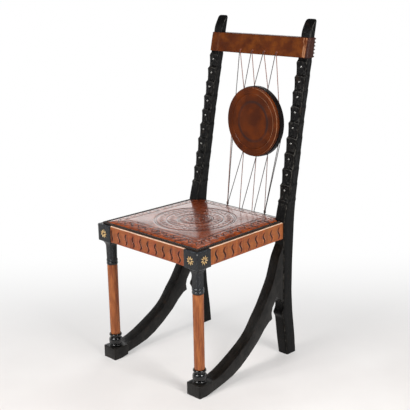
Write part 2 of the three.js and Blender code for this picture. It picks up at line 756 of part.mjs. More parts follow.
function seatPad() {
  const columns = 22;
  const depths = [];
  const rows = 22;
  for (let row = 0; row <= rows; row += 1) depths.push(padFront + (padBack - padFront) * row / rows);
  depths.push(padBack + padTongueGap / 2, (padBack + padEnd) / 2, padEnd);
  const foot = seatHeight + fitGap;
  const length = padEnd - padFront;
  const swell = (share) => Math.min(1, Math.max(0, 1 - Math.abs(share) ** 4)) ** 0.55;
  const points = [];
  depths.forEach((depth) => {
    const along = (depth - padFront) / length * 2 - 1;
    for (let i = 0; i <= columns; i += 1) {
      const across = i / columns * 2 - 1;
      const top = foot + padEdge + padCrown * swell(across) * swell(along);
      points.push(new THREE.Vector3(across * padHalf(depth), depth, top));
    }
  });
  const topCount = points.length;
  const under = points.map((point) => new THREE.Vector3(point.x, point.y, foot));
  const index = [];
  const row = columns + 1;
  for (let j = 0; j < depths.length - 1; j += 1) {
    for (let i = 0; i < columns; i += 1) {
      const a = j * row + i;
      const c = a + row;
      index.push(a, a + 1, c + 1, a, c + 1, c);
      const b = a + topCount;
      const d = c + topCount;
      index.push(b, d + 1, b + 1, b, d, d + 1);
    }
  }
  const wall = (a, b) => index.push(a, b + topCount, b, a, a + topCount, b + topCount);
  for (let i = 0; i < columns; i += 1) {
    wall(i, i + 1);
    wall((depths.length - 1) * row + i + 1, (depths.length - 1) * row + i);
  }
  for (let j = 0; j < depths.length - 1; j += 1) {
    wall((j + 1) * row, j * row);
    wall(j * row + columns, (j + 1) * row + columns);
  }
  const geometry = new THREE.BufferGeometry();
  const flat = [...points, ...under].flatMap((point) => [point.x, point.y, point.z]);
  geometry.setAttribute('position', new THREE.Float32BufferAttribute(flat, 3));
  geometry.setIndex(index);
  return geometry;
}

function seatBand() {
  const outerInset = padInset - bandWidth;
  const innerInset = padInset - fitGap;
  const outerFront = railInset + outerInset;
  const innerFront = railInset + innerInset;
  const half = [
    [insetHalf(outerFront, outerInset), outerFront],
    [insetHalf(padBack, outerInset), padBack],
    [insetHalf(padBack, innerInset), padBack],
    [insetHalf(innerFront, innerInset), innerFront],
  ];
  return levelBoard(mirrored(half), seatHeight + fitGap, bandHeight);
}

// Crest: a board between the posts, and leather wrapped round board and posts

function crestRing(height, half, by, round) {
  const front = groundFront(height) - by;
  const back = postRear(height) + by;
  const places = [];
  const corners = [[half - round, front + round, -90], [half - round, back - round, 0],
    [round - half, back - round, 90], [round - half, front + round, 180]];
  corners.forEach(([x, y, start]) => {
    [0, 45, 90].forEach((turn) => {
      const angle = THREE.MathUtils.degToRad(start + turn);
      places.push(new THREE.Vector3(x + round * Math.cos(angle), y + round * Math.sin(angle), height));
    });
  });
  return places;
}

function crestSkin(by, round, foot, top) {
  return loft([foot, top].map((height) => crestRing(height, postOuter(height) + by, by, round)));
}

function crestLeather() {
  const outer = crestSkin(leatherThickness + fitGap, crestRound, crestFoot, crestTop);
  const inner = crestSkin(fitGap, postEdge, crestFoot - cutOverrun, crestTop + cutOverrun);
  return carved(outer, inner, ...crestHoles());
}

function crestBoard() {
  const heights = [crestFoot + boardDrop, crestTop - boardDrop];
  const body = loft(heights.map((height) => {
    const half = postInner(height) - fitGap;
    return chamferedRing([-half, half], [groundFront(height), postRear(height)], height, postEdge / 2);
  }));
  return carved(joined(body, crestTenon(1, 0), crestTenon(-1, 0)), ...crestHoles());
}

const crestHoleHeight = crestFoot + crestHoleRise;

function crestFace(height) {
  return groundFront(height) - fitGap - leatherThickness;
}

function crestHoles() {
  const face = crestFace(crestHoleHeight);
  return crestHolePlaces().map((x) => rod(
    new THREE.Vector3(x, face - cutOverrun, crestHoleHeight),
    new THREE.Vector3(x, face + leatherThickness + holeDepth, crestHoleHeight), cordHole,
  ));
}

// The thong that laces the leather together at the outer back corner of each post
function crestLace(side) {
  const by = leatherThickness + fitGap;
  const bend = by - crestRound * (1 - Math.SQRT1_2);
  const corner = (height) => new THREE.Vector3(
    side * (postOuter(height) + bend), postRear(height) + bend, height,
  );
  const span = crestTop - crestFoot - laceRadius * 2;
  const places = Array.from({ length: laceBumps }, (_, i) => corner(
    crestFoot + laceRadius + span * i / (laceBumps - 1),
  ));
  const thong = rod(places[0], places.at(-1), laceCord);
  const bumps = places.map(
    (place) => new THREE.SphereGeometry(laceRadius, 7, 5).translate(place.x, place.y, place.z),
  );
  const clear = crestSkin(by + fitGap, crestRound, crestFoot - cutOverrun * 2, crestTop + cutOverrun * 2);
  return carved(joined(thong, ...bumps), clear);
}

// Disc

const discCordDepth = discShell + fitGap + plateThickness - rimHoleInset;
const discHeight = seatHeight + discPlaceShare * (crestFoot - seatHeight);
const discYaw = THREE.MathUtils.degToRad(discTurn);
const discNormal = new THREE.Vector3(Math.sin(discYaw), Math.cos(discYaw), -discSlope).normalize();
const discRight = new THREE.Vector3(Math.cos(discYaw), -Math.sin(discYaw), 0);
const discUp = discRight.clone().cross(discNormal);
const cordFront = crestFace(crestFoot) - cordRadius - fitGap;
const cordBack = rearRailBack + cordRadius + fitGap;
const cordPlane = cordBack + discHangShare * (cordFront - cordBack);
const discMiddle = new THREE.Vector3(discShift, cordPlane - discCordDepth, discHeight);

function onDisc(radius, degrees, behind) {
  const angle = THREE.MathUtils.degToRad(degrees);
  return discMiddle.clone()
    .addScaledVector(discNormal, behind)
    .addScaledVector(discUp, radius * Math.cos(angle))
    .addScaledVector(discRight, radius * Math.sin(angle));
}

// A turned piece whose axis is the disc's, its outline as points of radius and depth behind the face
function discTurned(outline, segments = 48) {
  const points = outline.map(([radius, behind]) => new THREE.Vector2(radius, behind));
  const geometry = new THREE.LatheGeometry(points, segments);
  const turn = new THREE.Quaternion().setFromUnitVectors(new THREE.Vector3(0, 1, 0), discNormal);
  return geometry.applyQuaternion(turn).translate(...discMiddle.toArray());
}

function discLeather() {
  const steps = discRingShares.map((share, i) => [discRadius * share, discShell * discStepShares[i]]);
  return discTurned([
    [0, discShell * discStepShares.at(-1)], ...steps.reverse(), [discRadius, discShell], [0, discShell],
  ]);
}

function discPlate() {
  const front = discShell + fitGap;
  const back = front + plateThickness;
  const edge = plateThickness / 8;
  const plate = discTurned([
    [0, front], [plateRadius - edge / 2, front], [plateRadius, front + edge], [plateRadius, back - edge],
    [plateRadius - edge, back], [0, back],
  ]);
  const middle = discCordDepth;
  const holes = [...upperAngles, ...lowerAngles.map((angle) => 180 - angle)].map((angle) => rod(
    onDisc(plateRadius - holeDepth, angle, middle), onDisc(plateRadius + cutOverrun, angle, middle), rimHole,
  ));
  return carved(plate, ...holes);
}

// Cords

function holeRow(middle, count, pitch) {
  return Array.from({ length: count }, (_, i) => middle + pitch * (i - (count - 1) / 2));
}

function crestHolePlaces() {
  return holeRow(crestLacingShift, upperAngles.length - 1, crestHolePitch);
}

function railHolePlaces() {
  return holeRow(railLacingShift, lowerStrandCounts.length, railHolePitch);
}

function rod(from, to, radius, sides = 12) {
  const along = to.clone().sub(from);
  const geometry = new THREE.CylinderGeometry(radius, radius, along.length(), sides);
  const upright = new THREE.Vector3(0, 1, 0);
  const turn = new THREE.Quaternion().setFromUnitVectors(upright, along.clone().normalize());
  const middle = from.clone().add(to).multiplyScalar(0.5);
  return geometry.applyQuaternion(turn).translate(middle.x, middle.y, middle.z);
}

// A bar of round section through places, with a closed end on each
function bent(places, radius, count = cordSides) {
  const rings = places.map((place, i) => {
    const next = places[Math.min(i + 1, places.length - 1)];
    const along = next.clone().sub(places[Math.max(i - 1, 0)]).normalize();
    const across = new THREE.Vector3(1, 0, 0).cross(along).normalize();
    const other = along.clone().cross(across);
    return Array.from({ length: count }, (_, step) => {
      const angle = Math.PI * 2 * step / count;
      return place.clone()
        .addScaledVector(across, radius * Math.cos(angle))
        .addScaledVector(other, radius * Math.sin(angle));
    });
  });
  return loft(rings);
}

// Two strands meet in a small loop at the mouth of their hole in the rim
function rimMouth(angle) {
  return onDisc(plateRadius + cordKnot, angle, discCordDepth);
}

function meeting(angle) {
  const place = rimMouth(angle);
  return new THREE.IcosahedronGeometry(cordKnot, 0).translate(place.x, place.y, place.z);
}

// Upper lacing: crest hole number i takes the strands of disc holes i and i + 1
function upperLacing() {
  const pieces = upperAngles.map(meeting);
  const floor = crestFace(crestHoleHeight) + leatherThickness + holeDepth - fitGap;
  crestHolePlaces().forEach((x, number) => {
    [0, 1].forEach((next) => {
      const shift = strandSpread * (next - 0.5);
      const inside = new THREE.Vector3(x, floor, crestHoleHeight);
      const outside = new THREE.Vector3(x + shift, cordFront, crestHoleHeight);
      pieces.push(bent([inside, outside, rimMouth(upperAngles[number + next])], cordRadius));
    });
  });
  return joined(...pieces);
}

// Lower lacing: each hole of the rear rail takes two or three strands of neighbouring rim holes
function lowerLacing() {
  const pieces = lowerAngles.map((angle) => meeting(180 - angle));
  let firstHole = 0;
  railHolePlaces().forEach((x, number) => {
    const strandCount = lowerStrandCounts[number];
    for (let i = 0; i < strandCount; i += 1) {
      const shift = strandSpread * (i - (strandCount - 1) / 2);
      const inside = new THREE.Vector3(x, rearRailBack - holeDepth + fitGap, railHoleHeight);
      const outside = new THREE.Vector3(x + shift, cordBack, railHoleHeight);
      pieces.push(bent([inside, outside, rimMouth(180 - lowerAngles[firstHole + i])], cordRadius));
    }
    firstHole += strandCount - 1;
  });
  return joined(...pieces);
}

// Studs, one on each scale

function stud(side, number) {
  const ledge = scaleLedge(number);
  const foot = scaleLedge(number + 1) + ledgeRiser;
  const ledgeFront = groundFront(ledge) - ledgeDepth;
  const footFront = groundFront(foot);
  const slope = (ledgeFront - footFront) / (ledge - foot);
  const height = ledge - studPlaceShare * (ledge - foot);
  const face = new THREE.Vector3(0, -1, slope).normalize();
  const place = new THREE.Vector3(
    side * (postOuter(height) + postInner(height)) / 2, ledgeFront - slope * (ledge - height), height,
  ).addScaledVector(face, fitGap);
  const dome = [
    [0, 0], [studRadius, 0], [studRadius * 0.9, studRise * 0.45], [studRadius * 0.55, studRise * 0.85],
    [0, studRise],
  ];
  const geometry = new THREE.LatheGeometry(dome.map(([radius, rise]) => new THREE.Vector2(radius, rise)), 12);
  const turn = new THREE.Quaternion().setFromUnitVectors(new THREE.Vector3(0, 1, 0), face);
  return geometry.applyQuaternion(turn).translate(place.x, place.y, place.z);
}

// The chair

const sides = [['left', -1], ['right', 1]];
for (const [name, side] of sides) {
  addPiece(`rear_post_${name}`, rearPost(side), blackWood);
  addPiece(`brace_${name}`, brace(side), blackWood);
  addPiece(`corner_block_${name}`, cornerBlock(side), blackWood);
  addPiece(`column_${name}`, column(side), tanWood);
  addPiece(`bulb_${name}`, bulb(side), blackWood);
  addPiece(`side_rail_${name}`, sideRail(side), tanWood);
  addPiece(`seat_ledger_${name}`, ledger(side), innerWood);
  addPiece(`crest_lace_${name}`, crestLace(side), brownLeather);
  addPiece(`star_front_${name}`, starInlay(side, 'front', 0), paleInlay);
  addPiece(`star_outer_${name}`, starInlay(side, 'outer', 0), paleInlay);
  addPiece(`corner_pin_${name}`, cornerPin(side, 0), boneInlay);
  for (let number = 0; number < scaleCount; number += 1) {
    addPiece(`stud_${name}_${number + 1}`, stud(side, number), boneInlay);
  }
}
addPiece('front_rail', frontRail(), tanWood);
addPiece('rear_rail', rearRail(), blackWood);
addPiece('seat_board', seatBoard(), innerWood);
addPiece('seat_pad', seatPad(), seatLeather);
addPiece('seat_band', seatBand(), bandLeather);
addPiece('crest_board', crestBoard(), innerWood);
addPiece('crest_leather', crestLeather(), brownLeather);
addPiece('disc_leather', discLeather(), brownLeather);
addPiece('disc_plate', discPlate(), blackWood);
addPiece('upper_cord', upperLacing(), paleCord);
addPiece('lower_cord', lowerLacing(), paleCord);

// The chair stands on the floor with its middle over the origin
const extent = new THREE.Box3().setFromObject(chair);
chair.position.set(0, -(extent.min.y + extent.max.y) / 2, 0);
chair.updateMatrixWorld(true);

export default chair;
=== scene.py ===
# %% [markdown]
# # A lyre back chair in black and tan wood
#
# The real chair stands on two raking rear posts carved in scales, two curved side braces and two
# turned front columns. A leather-covered disc hangs in the back on taut cord, which gives the
# chair its name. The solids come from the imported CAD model. Here each of them gets its finish, or
# is drawn again with the roundings, carving and lacing that the eye expects.

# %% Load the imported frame
from math import cos, exp, hypot, pi, radians, sin, sqrt

import bmesh
import bpy
import numpy as np
from mathutils import Matrix, Vector


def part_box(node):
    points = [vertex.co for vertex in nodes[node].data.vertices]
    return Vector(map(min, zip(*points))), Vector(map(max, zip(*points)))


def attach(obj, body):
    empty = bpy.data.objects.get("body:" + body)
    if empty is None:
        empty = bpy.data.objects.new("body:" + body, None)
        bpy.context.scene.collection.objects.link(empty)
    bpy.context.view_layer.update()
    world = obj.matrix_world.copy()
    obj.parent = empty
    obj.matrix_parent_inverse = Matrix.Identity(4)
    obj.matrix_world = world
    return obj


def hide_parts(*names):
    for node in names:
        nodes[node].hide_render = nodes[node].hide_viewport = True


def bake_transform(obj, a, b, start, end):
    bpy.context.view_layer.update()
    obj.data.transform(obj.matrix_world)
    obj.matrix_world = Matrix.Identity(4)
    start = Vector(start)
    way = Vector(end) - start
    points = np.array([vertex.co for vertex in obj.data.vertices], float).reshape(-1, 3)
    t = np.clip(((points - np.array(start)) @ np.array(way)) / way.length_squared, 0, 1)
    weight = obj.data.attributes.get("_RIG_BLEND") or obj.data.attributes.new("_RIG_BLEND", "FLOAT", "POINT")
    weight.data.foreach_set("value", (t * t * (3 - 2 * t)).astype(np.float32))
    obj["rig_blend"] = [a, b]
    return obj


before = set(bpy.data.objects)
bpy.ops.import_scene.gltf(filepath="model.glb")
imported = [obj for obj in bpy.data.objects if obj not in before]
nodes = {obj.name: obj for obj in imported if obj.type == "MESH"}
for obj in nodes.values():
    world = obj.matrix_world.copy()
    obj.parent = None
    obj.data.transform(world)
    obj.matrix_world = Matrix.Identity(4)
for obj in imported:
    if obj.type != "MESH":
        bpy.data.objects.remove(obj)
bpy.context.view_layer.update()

# %% [markdown]
# ## Places
#
# The chair was laid out in millimetres from the front of its corner blocks, so one helper turns
# such a place into metres in the shared frame. The block's own box says where that front lies.

# %% Places in millimetres
MM = 0.001
block_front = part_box("corner_block_left")[0].y


def placed(points):
    return np.asarray(points, float) * MM + np.array([0.0, block_front, 0.0])


print("front of the blocks at y =", round(block_front, 4))

# %% [markdown]
# ## Camera
#
# The view is a long lens from the chair's front right, a little above it. The angles and the
# distance were fitted to the corners of blocks, feet and posts, so that the pieces can be
# compared with the real ones place by place.

# %% Camera
YAW, PITCH, ROLL = 0.7879, 0.2725, -0.0174
EYE = (1948.7, -1680.1, 1270.4)
FOCAL_PIXELS, IMAGE_PIXELS, SENSOR = 890.5, 410, 36.0
SHIFT_RIGHT, SHIFT_UP = 0.3, 1.7

ahead = Vector((-sin(YAW) * cos(PITCH), cos(YAW) * cos(PITCH), -sin(PITCH)))
level = Vector((cos(YAW), sin(YAW), 0))
above = level.cross(ahead)
camera_x = level * cos(ROLL) + above * sin(ROLL)
camera_y = above * cos(ROLL) - level * sin(ROLL)
turn = Matrix((camera_x, camera_y, -ahead)).transposed().to_4x4()

camera_data = bpy.data.cameras.new("camera")
camera_data.sensor_width = SENSOR
camera_data.lens = FOCAL_PIXELS * SENSOR / IMAGE_PIXELS
camera_data.shift_x = SHIFT_RIGHT / IMAGE_PIXELS
camera_data.shift_y = SHIFT_UP / IMAGE_PIXELS
camera = bpy.data.objects.new("camera", camera_data)
camera.matrix_world = Matrix.Translation(placed(EYE)) @ turn
scene = bpy.context.scene
scene.collection.objects.link(camera)
scene.camera = camera
print("camera at", tuple(round(v, 3) for v in camera.location), "lens", round(camera_data.lens, 1))

# %% [markdown]
# ## Nodes by name
#
# Shader trees are easier to read when one line makes a node, sets its inputs and links them. The
# helpers below do that for shaders and for Geometry Nodes alike. Colours are written as they are
# seen, and every finish ends in the same call, which sets its colour, roughness and relief.

# %% Node helpers
WHITE = (1.0, 1.0, 1.0, 1.0)


def feed(tree, made, inputs):
    """Set a node's inputs, or link those that come from another node"""
    for key, value in inputs.items():
        if isinstance(value, bpy.types.NodeSocket):
            tree.links.new(value, made.inputs[key])
        else:
            made.inputs[key].default_value = value
    return made


def node(tree, kind, inputs=None, **settings):
    made = tree.nodes.new(kind)
    for name, value in settings.items():
        setattr(made, name, value)
    return feed(tree, made, inputs or {})


def tree_of(values):
    """The node tree in which the first linked value stands"""
    return next(value.id_data for value in values if isinstance(value, bpy.types.NodeSocket))


def maths(operation, *values):
    made = node(tree_of(values), "ShaderNodeMath", dict(enumerate(values)), operation=operation)
    return made.outputs[0]


def times(first, second):
    return maths("MULTIPLY", first, second)


def vector_maths(operation, *values, result="Value"):
    made = node(tree_of(values), "ShaderNodeVectorMath", dict(enumerate(values)), operation=operation)
    return made.outputs[result]


def stretched(place, factors):
    return vector_maths("MULTIPLY", place, factors, result="Vector")


def ramp(value, start, end, low=0.0, high=1.0):
    spans = {"Value": value, "From Min": start, "From Max": end, "To Min": low, "To Max": high}
    made = node(value.id_data, "ShaderNodeMapRange", spans, interpolation_type="SMOOTHSTEP")
    return made.outputs["Result"]


def noise(place, scale, detail=2.0, roughness=0.5, distortion=0.0):
    made = node(place.id_data, "ShaderNodeTexNoise", {
        "Vector": place, "Scale": scale, "Detail": detail, "Roughness": roughness, "Distortion": distortion})
    return made.outputs["Fac"]


def mark(place, name):
    """What the mesh says under a name, in the tree of the place"""
    return node(place.id_data, "ShaderNodeAttribute", attribute_name=name).outputs["Fac"]


# %% Colours and finishes
def paint(code):
    """A colour as it is seen, such as 7A3014, in the linear values that shaders take"""
    seen = [int(code[i:i + 2], 16) / 255 for i in (0, 2, 4)]
    return tuple(v / 12.92 if v <= 0.04045 else ((v + 0.055) / 1.055) ** 2.4 for v in seen) + (1.0,)


def mix(share, first, second):
    first, second = (paint(c) if isinstance(c, str) else c for c in (first, second))
    return node(share.id_data, "ShaderNodeMix", {0: share, 6: first, 7: second}, data_type="RGBA").outputs[2]


def layers(colour, *coats):
    """Colours laid over the first one, each as far as its share says"""
    for share, code in coats:
        colour = mix(share, colour, code)
    return colour


def new_tree(name, kind, inputs, outputs):
    tree = bpy.data.node_groups.new(name, kind)
    for title, socket_kind, value in inputs:
        socket = tree.interface.new_socket(title, in_out="INPUT", socket_type="NodeSocket" + socket_kind)
        if value is not None:
            socket.default_value = value
    for title, socket_kind in outputs:
        tree.interface.new_socket(title, in_out="OUTPUT", socket_type="NodeSocket" + socket_kind)
    return tree, node(tree, "NodeGroupInput").outputs, node(tree, "NodeGroupOutput")


def use_group(group, inputs):
    return node(tree_of(inputs.values()), "ShaderNodeGroup", inputs, node_tree=group).outputs


def new_finish(name):
    """A material, and the place on the piece that its patterns hang on"""
    material = bpy.data.materials.new(name)
    material.use_nodes = True
    return material, node(material.node_tree, "ShaderNodeTexCoord").outputs["Object"]


def cover(material, colour, roughness, relief, values=None):
    """The relief is the strength, the distance and the height of a bump"""
    tree = material.node_tree
    bump = node(tree, "ShaderNodeBump", dict(zip(("Strength", "Distance", "Height"), relief)))
    feed(tree, tree.nodes["Principled BSDF"], {
        "Base Color": colour, "Roughness": roughness, "Normal": bump.outputs[0], **(values or {})})
    return material


print("helpers ready")

# %% [markdown]
# ## Floor, wall and lamps
#
# The chair stands in a white studio: a pale floor that runs out into a white wall, a dark ceiling,
# two large soft lamps beside the camera and a weaker one behind. The wall is the world itself,
# bright near the horizon behind the chair, dark overhead and dim behind the camera, because satin
# black wood and polished leather show what is around them. The floor turns white with distance,
# for the camera and for reflections only.

# %% World
WALL_HEADING = (-0.71, 0.71, 0.0)
scene.view_settings.view_transform = "Standard"
world = bpy.data.worlds.new("studio")
scene.world = world
world.use_nodes = True
sky = world.node_tree
sky.nodes.clear()
heading = node(sky, "ShaderNodeTexCoord").outputs["Generated"]
rise = node(sky, "ShaderNodeSeparateXYZ", {0: heading}).outputs["Z"]
behind = vector_maths("DOT_PRODUCT", heading, WALL_HEADING)
ceiling = ramp(rise, 0.26, 0.34, 1.0, 0.08)
low_band = times(ramp(rise, 0.0, 0.2, 1.2, 2.3), ceiling)
wall_light = times(low_band, ramp(behind, -0.15, 0.65, 0.16, 1.0))
for_camera = node(sky, "ShaderNodeLightPath").outputs["Is Camera Ray"]
seen_level = node(sky, "ShaderNodeMix", {0: for_camera, 2: wall_light, 3: 1.0}).outputs[0]
ambient = node(sky, "ShaderNodeBackground", {"Color": WHITE, "Strength": seen_level})
node(sky, "ShaderNodeOutputWorld", {"Surface": ambient.outputs[0]})

# %% Floor
FLOOR_SIZE = 18.0
bpy.ops.mesh.primitive_plane_add(size=FLOOR_SIZE)
floor = bpy.context.object
floor.name = "floor"
floor_paint, spot = new_finish("pale floor")
tree = floor_paint.node_tree
grey = mix(ramp(noise(spot, 2.6, 5.0), 0.35, 0.7), "E3DEDB", "EBE7E4")
shader = feed(tree, tree.nodes["Principled BSDF"], {"Base Color": grey, "Roughness": 0.7})
path = node(tree, "ShaderNodeLightPath").outputs
seen = maths("MAXIMUM", path["Is Camera Ray"], path["Is Glossy Ray"])
behind = vector_maths("DOT_PRODUCT", spot, WALL_HEADING)
away = vector_maths("LENGTH", spot)
# A white glow far off and behind the chair, for camera and reflections, which also lifts the chair's shadow
# there
share = maths("MAXIMUM", ramp(behind, -0.9, 1.0), ramp(away, 1.0, 2.4))
fade = times(seen, share)
light = maths("MAXIMUM", ramp(behind, -0.3, 1.1, 0.84, 1.0), ramp(away, 1.4, 3.6, 0.84, 1.0))
white = node(tree, "ShaderNodeEmission", {"Color": WHITE, "Strength": light})
mixed = node(tree, "ShaderNodeMixShader", {0: fade, 1: shader.outputs[0], 2: white.outputs[0]})
feed(tree, tree.nodes["Material Output"], {"Surface": mixed.outputs[0]})
floor.data.materials.append(floor_paint)

# %% Lamps
LAMP_TARGET = Vector((0.0, 0.0, 0.5))


def soft_lamp(name, azimuth, elevation, distance, width, height, watts):
    data = bpy.data.lights.new(name, "AREA")
    data.shape, data.size, data.size_y, data.energy = "RECTANGLE", width, height, watts
    lamp = bpy.data.objects.new(name, data)
    a, e = radians(azimuth), radians(elevation)
    back = Vector((sin(a) * cos(e), -cos(a) * cos(e), sin(e)))
    lamp.location = LAMP_TARGET + back * distance
    lamp.rotation_euler = (-back).to_track_quat("-Z", "Y").to_euler()
    scene.collection.objects.link(lamp)
    print(name, "at", tuple(round(v, 2) for v in lamp.location))


soft_lamp("lamp_front", -4, 34, 2.7, 0.8, 1.2, 62.0)
soft_lamp("lamp_side", 84, 34, 2.7, 0.8, 1.2, 56.0)
soft_lamp("lamp_back", 205, 52, 3.0, 1.0, 1.0, 14.0)

# %% [markdown]
# ## Shared effects
#
# Wood, leather and cord differ in colour, but they share effects: streaks that run with the grain,
# worn edges that also carry painted highlights, and the pebbles and creases of hide. Each effect is
# a group with named inputs, so that one group serves black wood at one scale and tan wood at another.

# %% Wood streaks
streak_group, given, out = new_tree(
    "wood streaks", "ShaderNodeTree",
    [("Place", "Vector", None), ("Squeeze", "Vector", (1.0, 1.0, 0.1)), ("Fineness", "Float", 90.0)],
    [("Streaks", "Float"), ("Pores", "Float")])
tree = streak_group
run = stretched(given["Place"], given["Squeeze"])
broad = noise(run, given["Fineness"], 5.0, 0.6, 0.4)
fine = noise(run, times(given["Fineness"], 6.0), 3.0)
feed(tree, out, {"Streaks": ramp(broad, 0.32, 0.68), "Pores": ramp(fine, 0.42, 0.62)})


def streaks(spot, squeeze, fineness):
    return use_group(streak_group, {"Place": spot, "Squeeze": squeeze, "Fineness": fineness})


# %% Edge wear and painted highlights
edge_group, given, out = new_tree(
    "worn and highlighted edges", "ShaderNodeTree",
    [("Edge", "Float", 0.0), ("Place", "Vector", None), ("Patchiness", "Float", 60.0),
     ("Reach", "Float", 0.5)],
    [("Mask", "Float")])
tree = edge_group
patches = noise(given["Place"], given["Patchiness"], 6.0, 0.7)
start = times(maths("SUBTRACT", 1.0, given["Reach"]), 0.75)
wear_and_highlight = times(given["Edge"], patches)
feed(tree, out, {"Mask": ramp(wear_and_highlight, start, maths("ADD", start, 0.22))})


def edge_wear_and_highlight(spot, patchiness, reach, strength):
    """How far the edge colour shows, as wear and as painted highlight, where the mesh has an edge"""
    mask = use_group(edge_group, {"Edge": mark(spot, "edge"), "Place": spot,
                                  "Patchiness": patchiness, "Reach": reach})["Mask"]
    return times(mask, strength)


# %% Hide
hide_group, given, out = new_tree(
    "hide", "ShaderNodeTree",
    [("Place", "Vector", None), ("Pebbles", "Float", 900.0), ("Creases", "Float", 60.0)],
    [("Height", "Float"), ("Mottle", "Float")])
tree = hide_group
cells = node(tree, "ShaderNodeTexVoronoi", {
    "Vector": given["Place"], "Scale": given["Pebbles"], "Randomness": 0.9,
}, feature="DISTANCE_TO_EDGE").outputs["Distance"]
pebbles = times(ramp(cells, 0.0, 0.25), 0.35)
folds = times(noise(given["Place"], given["Creases"], 8.0, 0.65, 0.8), 0.65)
stains = noise(given["Place"], 15.0, 4.0, 0.5, 0.3)
feed(tree, out, {"Height": maths("ADD", pebbles, folds), "Mottle": ramp(stains, 0.3, 0.72)})
print("shared effects made")

# %% [markdown]
# ## Finishes of the wood
#
# The black wood was stained and waxed, so it is satin, shows a little grain, and has rubbed through
# to grey brown at its edges. Its edges also carry painted highlights, bluish white on the corner
# blocks, and the carved posts carry painted glints. The turned bulbs were polished. The tan wood is
# oiled and streaked along the grain. Painted shade darkens its carved grooves and the rail tops
# under the seat band, and painted highlights lighten its top arrises and groove burrs.

# %% Black wood
UPRIGHT_GRAIN, LENGTHWISE_GRAIN, CROSSWISE_GRAIN = (1.0, 1.0, 0.08), (1.0, 0.08, 1.0), (0.08, 1.0, 1.0)


def black_wood(name, dark, light, squeeze, roughness, wear_and_highlight_reach, gloss, coat=0.0, wear_and_highlight="55524C", carved=0.0):
    material, spot = new_finish(name)
    grain = streaks(spot, squeeze, 120.0)
    colour = layers(
        mix(grain["Streaks"], dark, light),
        # Grey at the edges: worn wood, and also a painted highlight where the arrises catch the light
        (edge_wear_and_highlight(spot, 70.0, wear_and_highlight_reach, 0.6), wear_and_highlight),
        (ramp(noise(spot, 24.0, 7.0, 0.7), 0.56, 0.72, 0.0, 0.4), "3A2A1E"),
        (ramp(noise(spot, 240.0, 3.0), 0.6, 0.7, 0.0, 0.3), "3C3A36"))
    height = times(grain["Pores"], 0.15)
    if carved:
        where = mark(spot, "carved")
        # Painted glints: light strokes on the carved faces stand in for small highlights
        glint_strokes = noise(stretched(spot, (1.0, 1.0, 0.4)), 210.0)
        glint_strokes = times(ramp(glint_strokes, 0.56, 0.68, 0.0, 0.35), where)
        colour = mix(glint_strokes, colour, "504E49")
        long_place = stretched(spot, (1.0, 1.0, 0.55))
        cuts = node(spot.id_data, "ShaderNodeTexVoronoi", {"Vector": long_place, "Scale": 190.0},
                    feature="SMOOTH_F1")
        gouges = times(times(cuts.outputs["Distance"], carved), where)
        height = maths("ADD", height, gouges)
    return cover(material, colour, ramp(grain["Pores"], 0.0, 1.0, roughness - 0.05, roughness + 0.1),
                 (0.5, 0.0016, height),
                 {"Specular IOR Level": gloss, "Coat Weight": coat, "Coat Roughness": 0.07})


carved_black = black_wood("carved black wood", "020202", "0A0909", UPRIGHT_GRAIN, 0.36, 0.5, 0.11,
                          carved=2.2)
plain_black = black_wood("plain black wood", "0B0A09", "211F1D", (1.0, 0.3, 0.2), 0.34, 0.42, 0.2)
# The blocks' pale bluish edge colour is a painted highlight on their rounded top arrises
block_black = black_wood("block black wood", "0A0D10", "14181D", UPRIGHT_GRAIN, 0.3, 0.6, 0.28, 0.2,
                         wear_and_highlight="88929C")
polished_black = black_wood("polished black wood", "040506", "07090C", UPRIGHT_GRAIN, 0.3, 0.1, 0.15, 0.75)
plate_black = black_wood("plate black wood", "0A0504", "1A0D09", UPRIGHT_GRAIN, 0.42, 0.3, 0.07)
print("black finishes made")

# %% Tan wood


def tan_wood(name, squeeze, low, high, warm):
    material, spot = new_finish(name)
    grain = streaks(spot, squeeze, 70.0)
    flecks = noise(stretched(spot, (1.0, 1.0, 0.12)), 110.0, 4.0)
    groove = mark(spot, "groove")
    colour = layers(
        mix(grain["Streaks"], low, high),
        (ramp(noise(spot, 34.0, 3.0), 0.42, 0.66, 0.0, 0.4), "9A5A2C"),
        (ramp(flecks, 0.5, 0.62, 0.0, 0.6), warm),
        (ramp(flecks, 0.48, 0.36, 0.0, 0.4), "6A2E14"),
        (times(grain["Pores"], 0.45), "6E3418"),
        (ramp(mark(spot, "cell"), 0.4, 0.95, 0.0, 0.35), "8A5626"),
        # Painted shade: the groove mark darkens the grooves by their depth, and the rail tops under the band
        (ramp(groove, 0.03, 0.35, 0.0, 0.9), "6E260E"),
        (ramp(groove, 0.35, 0.75), "1E0A04"),
        # Painted highlight on the top arrises and the groove burrs, with a little wear
        (edge_wear_and_highlight(spot, 45.0, 0.85, 0.8), "ECCBB0"))
    return cover(material, colour, ramp(grain["Streaks"], 0.0, 1.0, 0.42, 0.55),
                 (0.3, 0.0006, grain["Pores"]), {"Specular IOR Level": 0.35})


tan_front = tan_wood("tan wood of the front rail", CROSSWISE_GRAIN, "823618", "A2522A", "B25A32")
tan_side = tan_wood("tan wood of the side rails", LENGTHWISE_GRAIN, "8C3C14", "AC5C24", "BC662C")
tan_column = tan_wood("tan wood of the columns", UPRIGHT_GRAIN, "82401F", "AE6838", "B8703C")

# %% Raw wood under the seat
raw_wood, spot = new_finish("raw wood")
grain = streaks(spot, CROSSWISE_GRAIN, 60.0)
cover(raw_wood, mix(grain["Streaks"], "7C5C3C", "9C7A52"), 0.75, (0.3, 0.0008, grain["Pores"]))
print("tan and raw wood made")

# %% [markdown]
# ## Finishes of the leather
#
# The hide on the crest and the disc is brown, mottled, and polished by hands. The seat's hide is
# redder and glossier, and it is tooled. The tooling is pressed into the mesh of the pad further
# down, which stores its depth, so that the finish can darken it.

# %% Brown leather


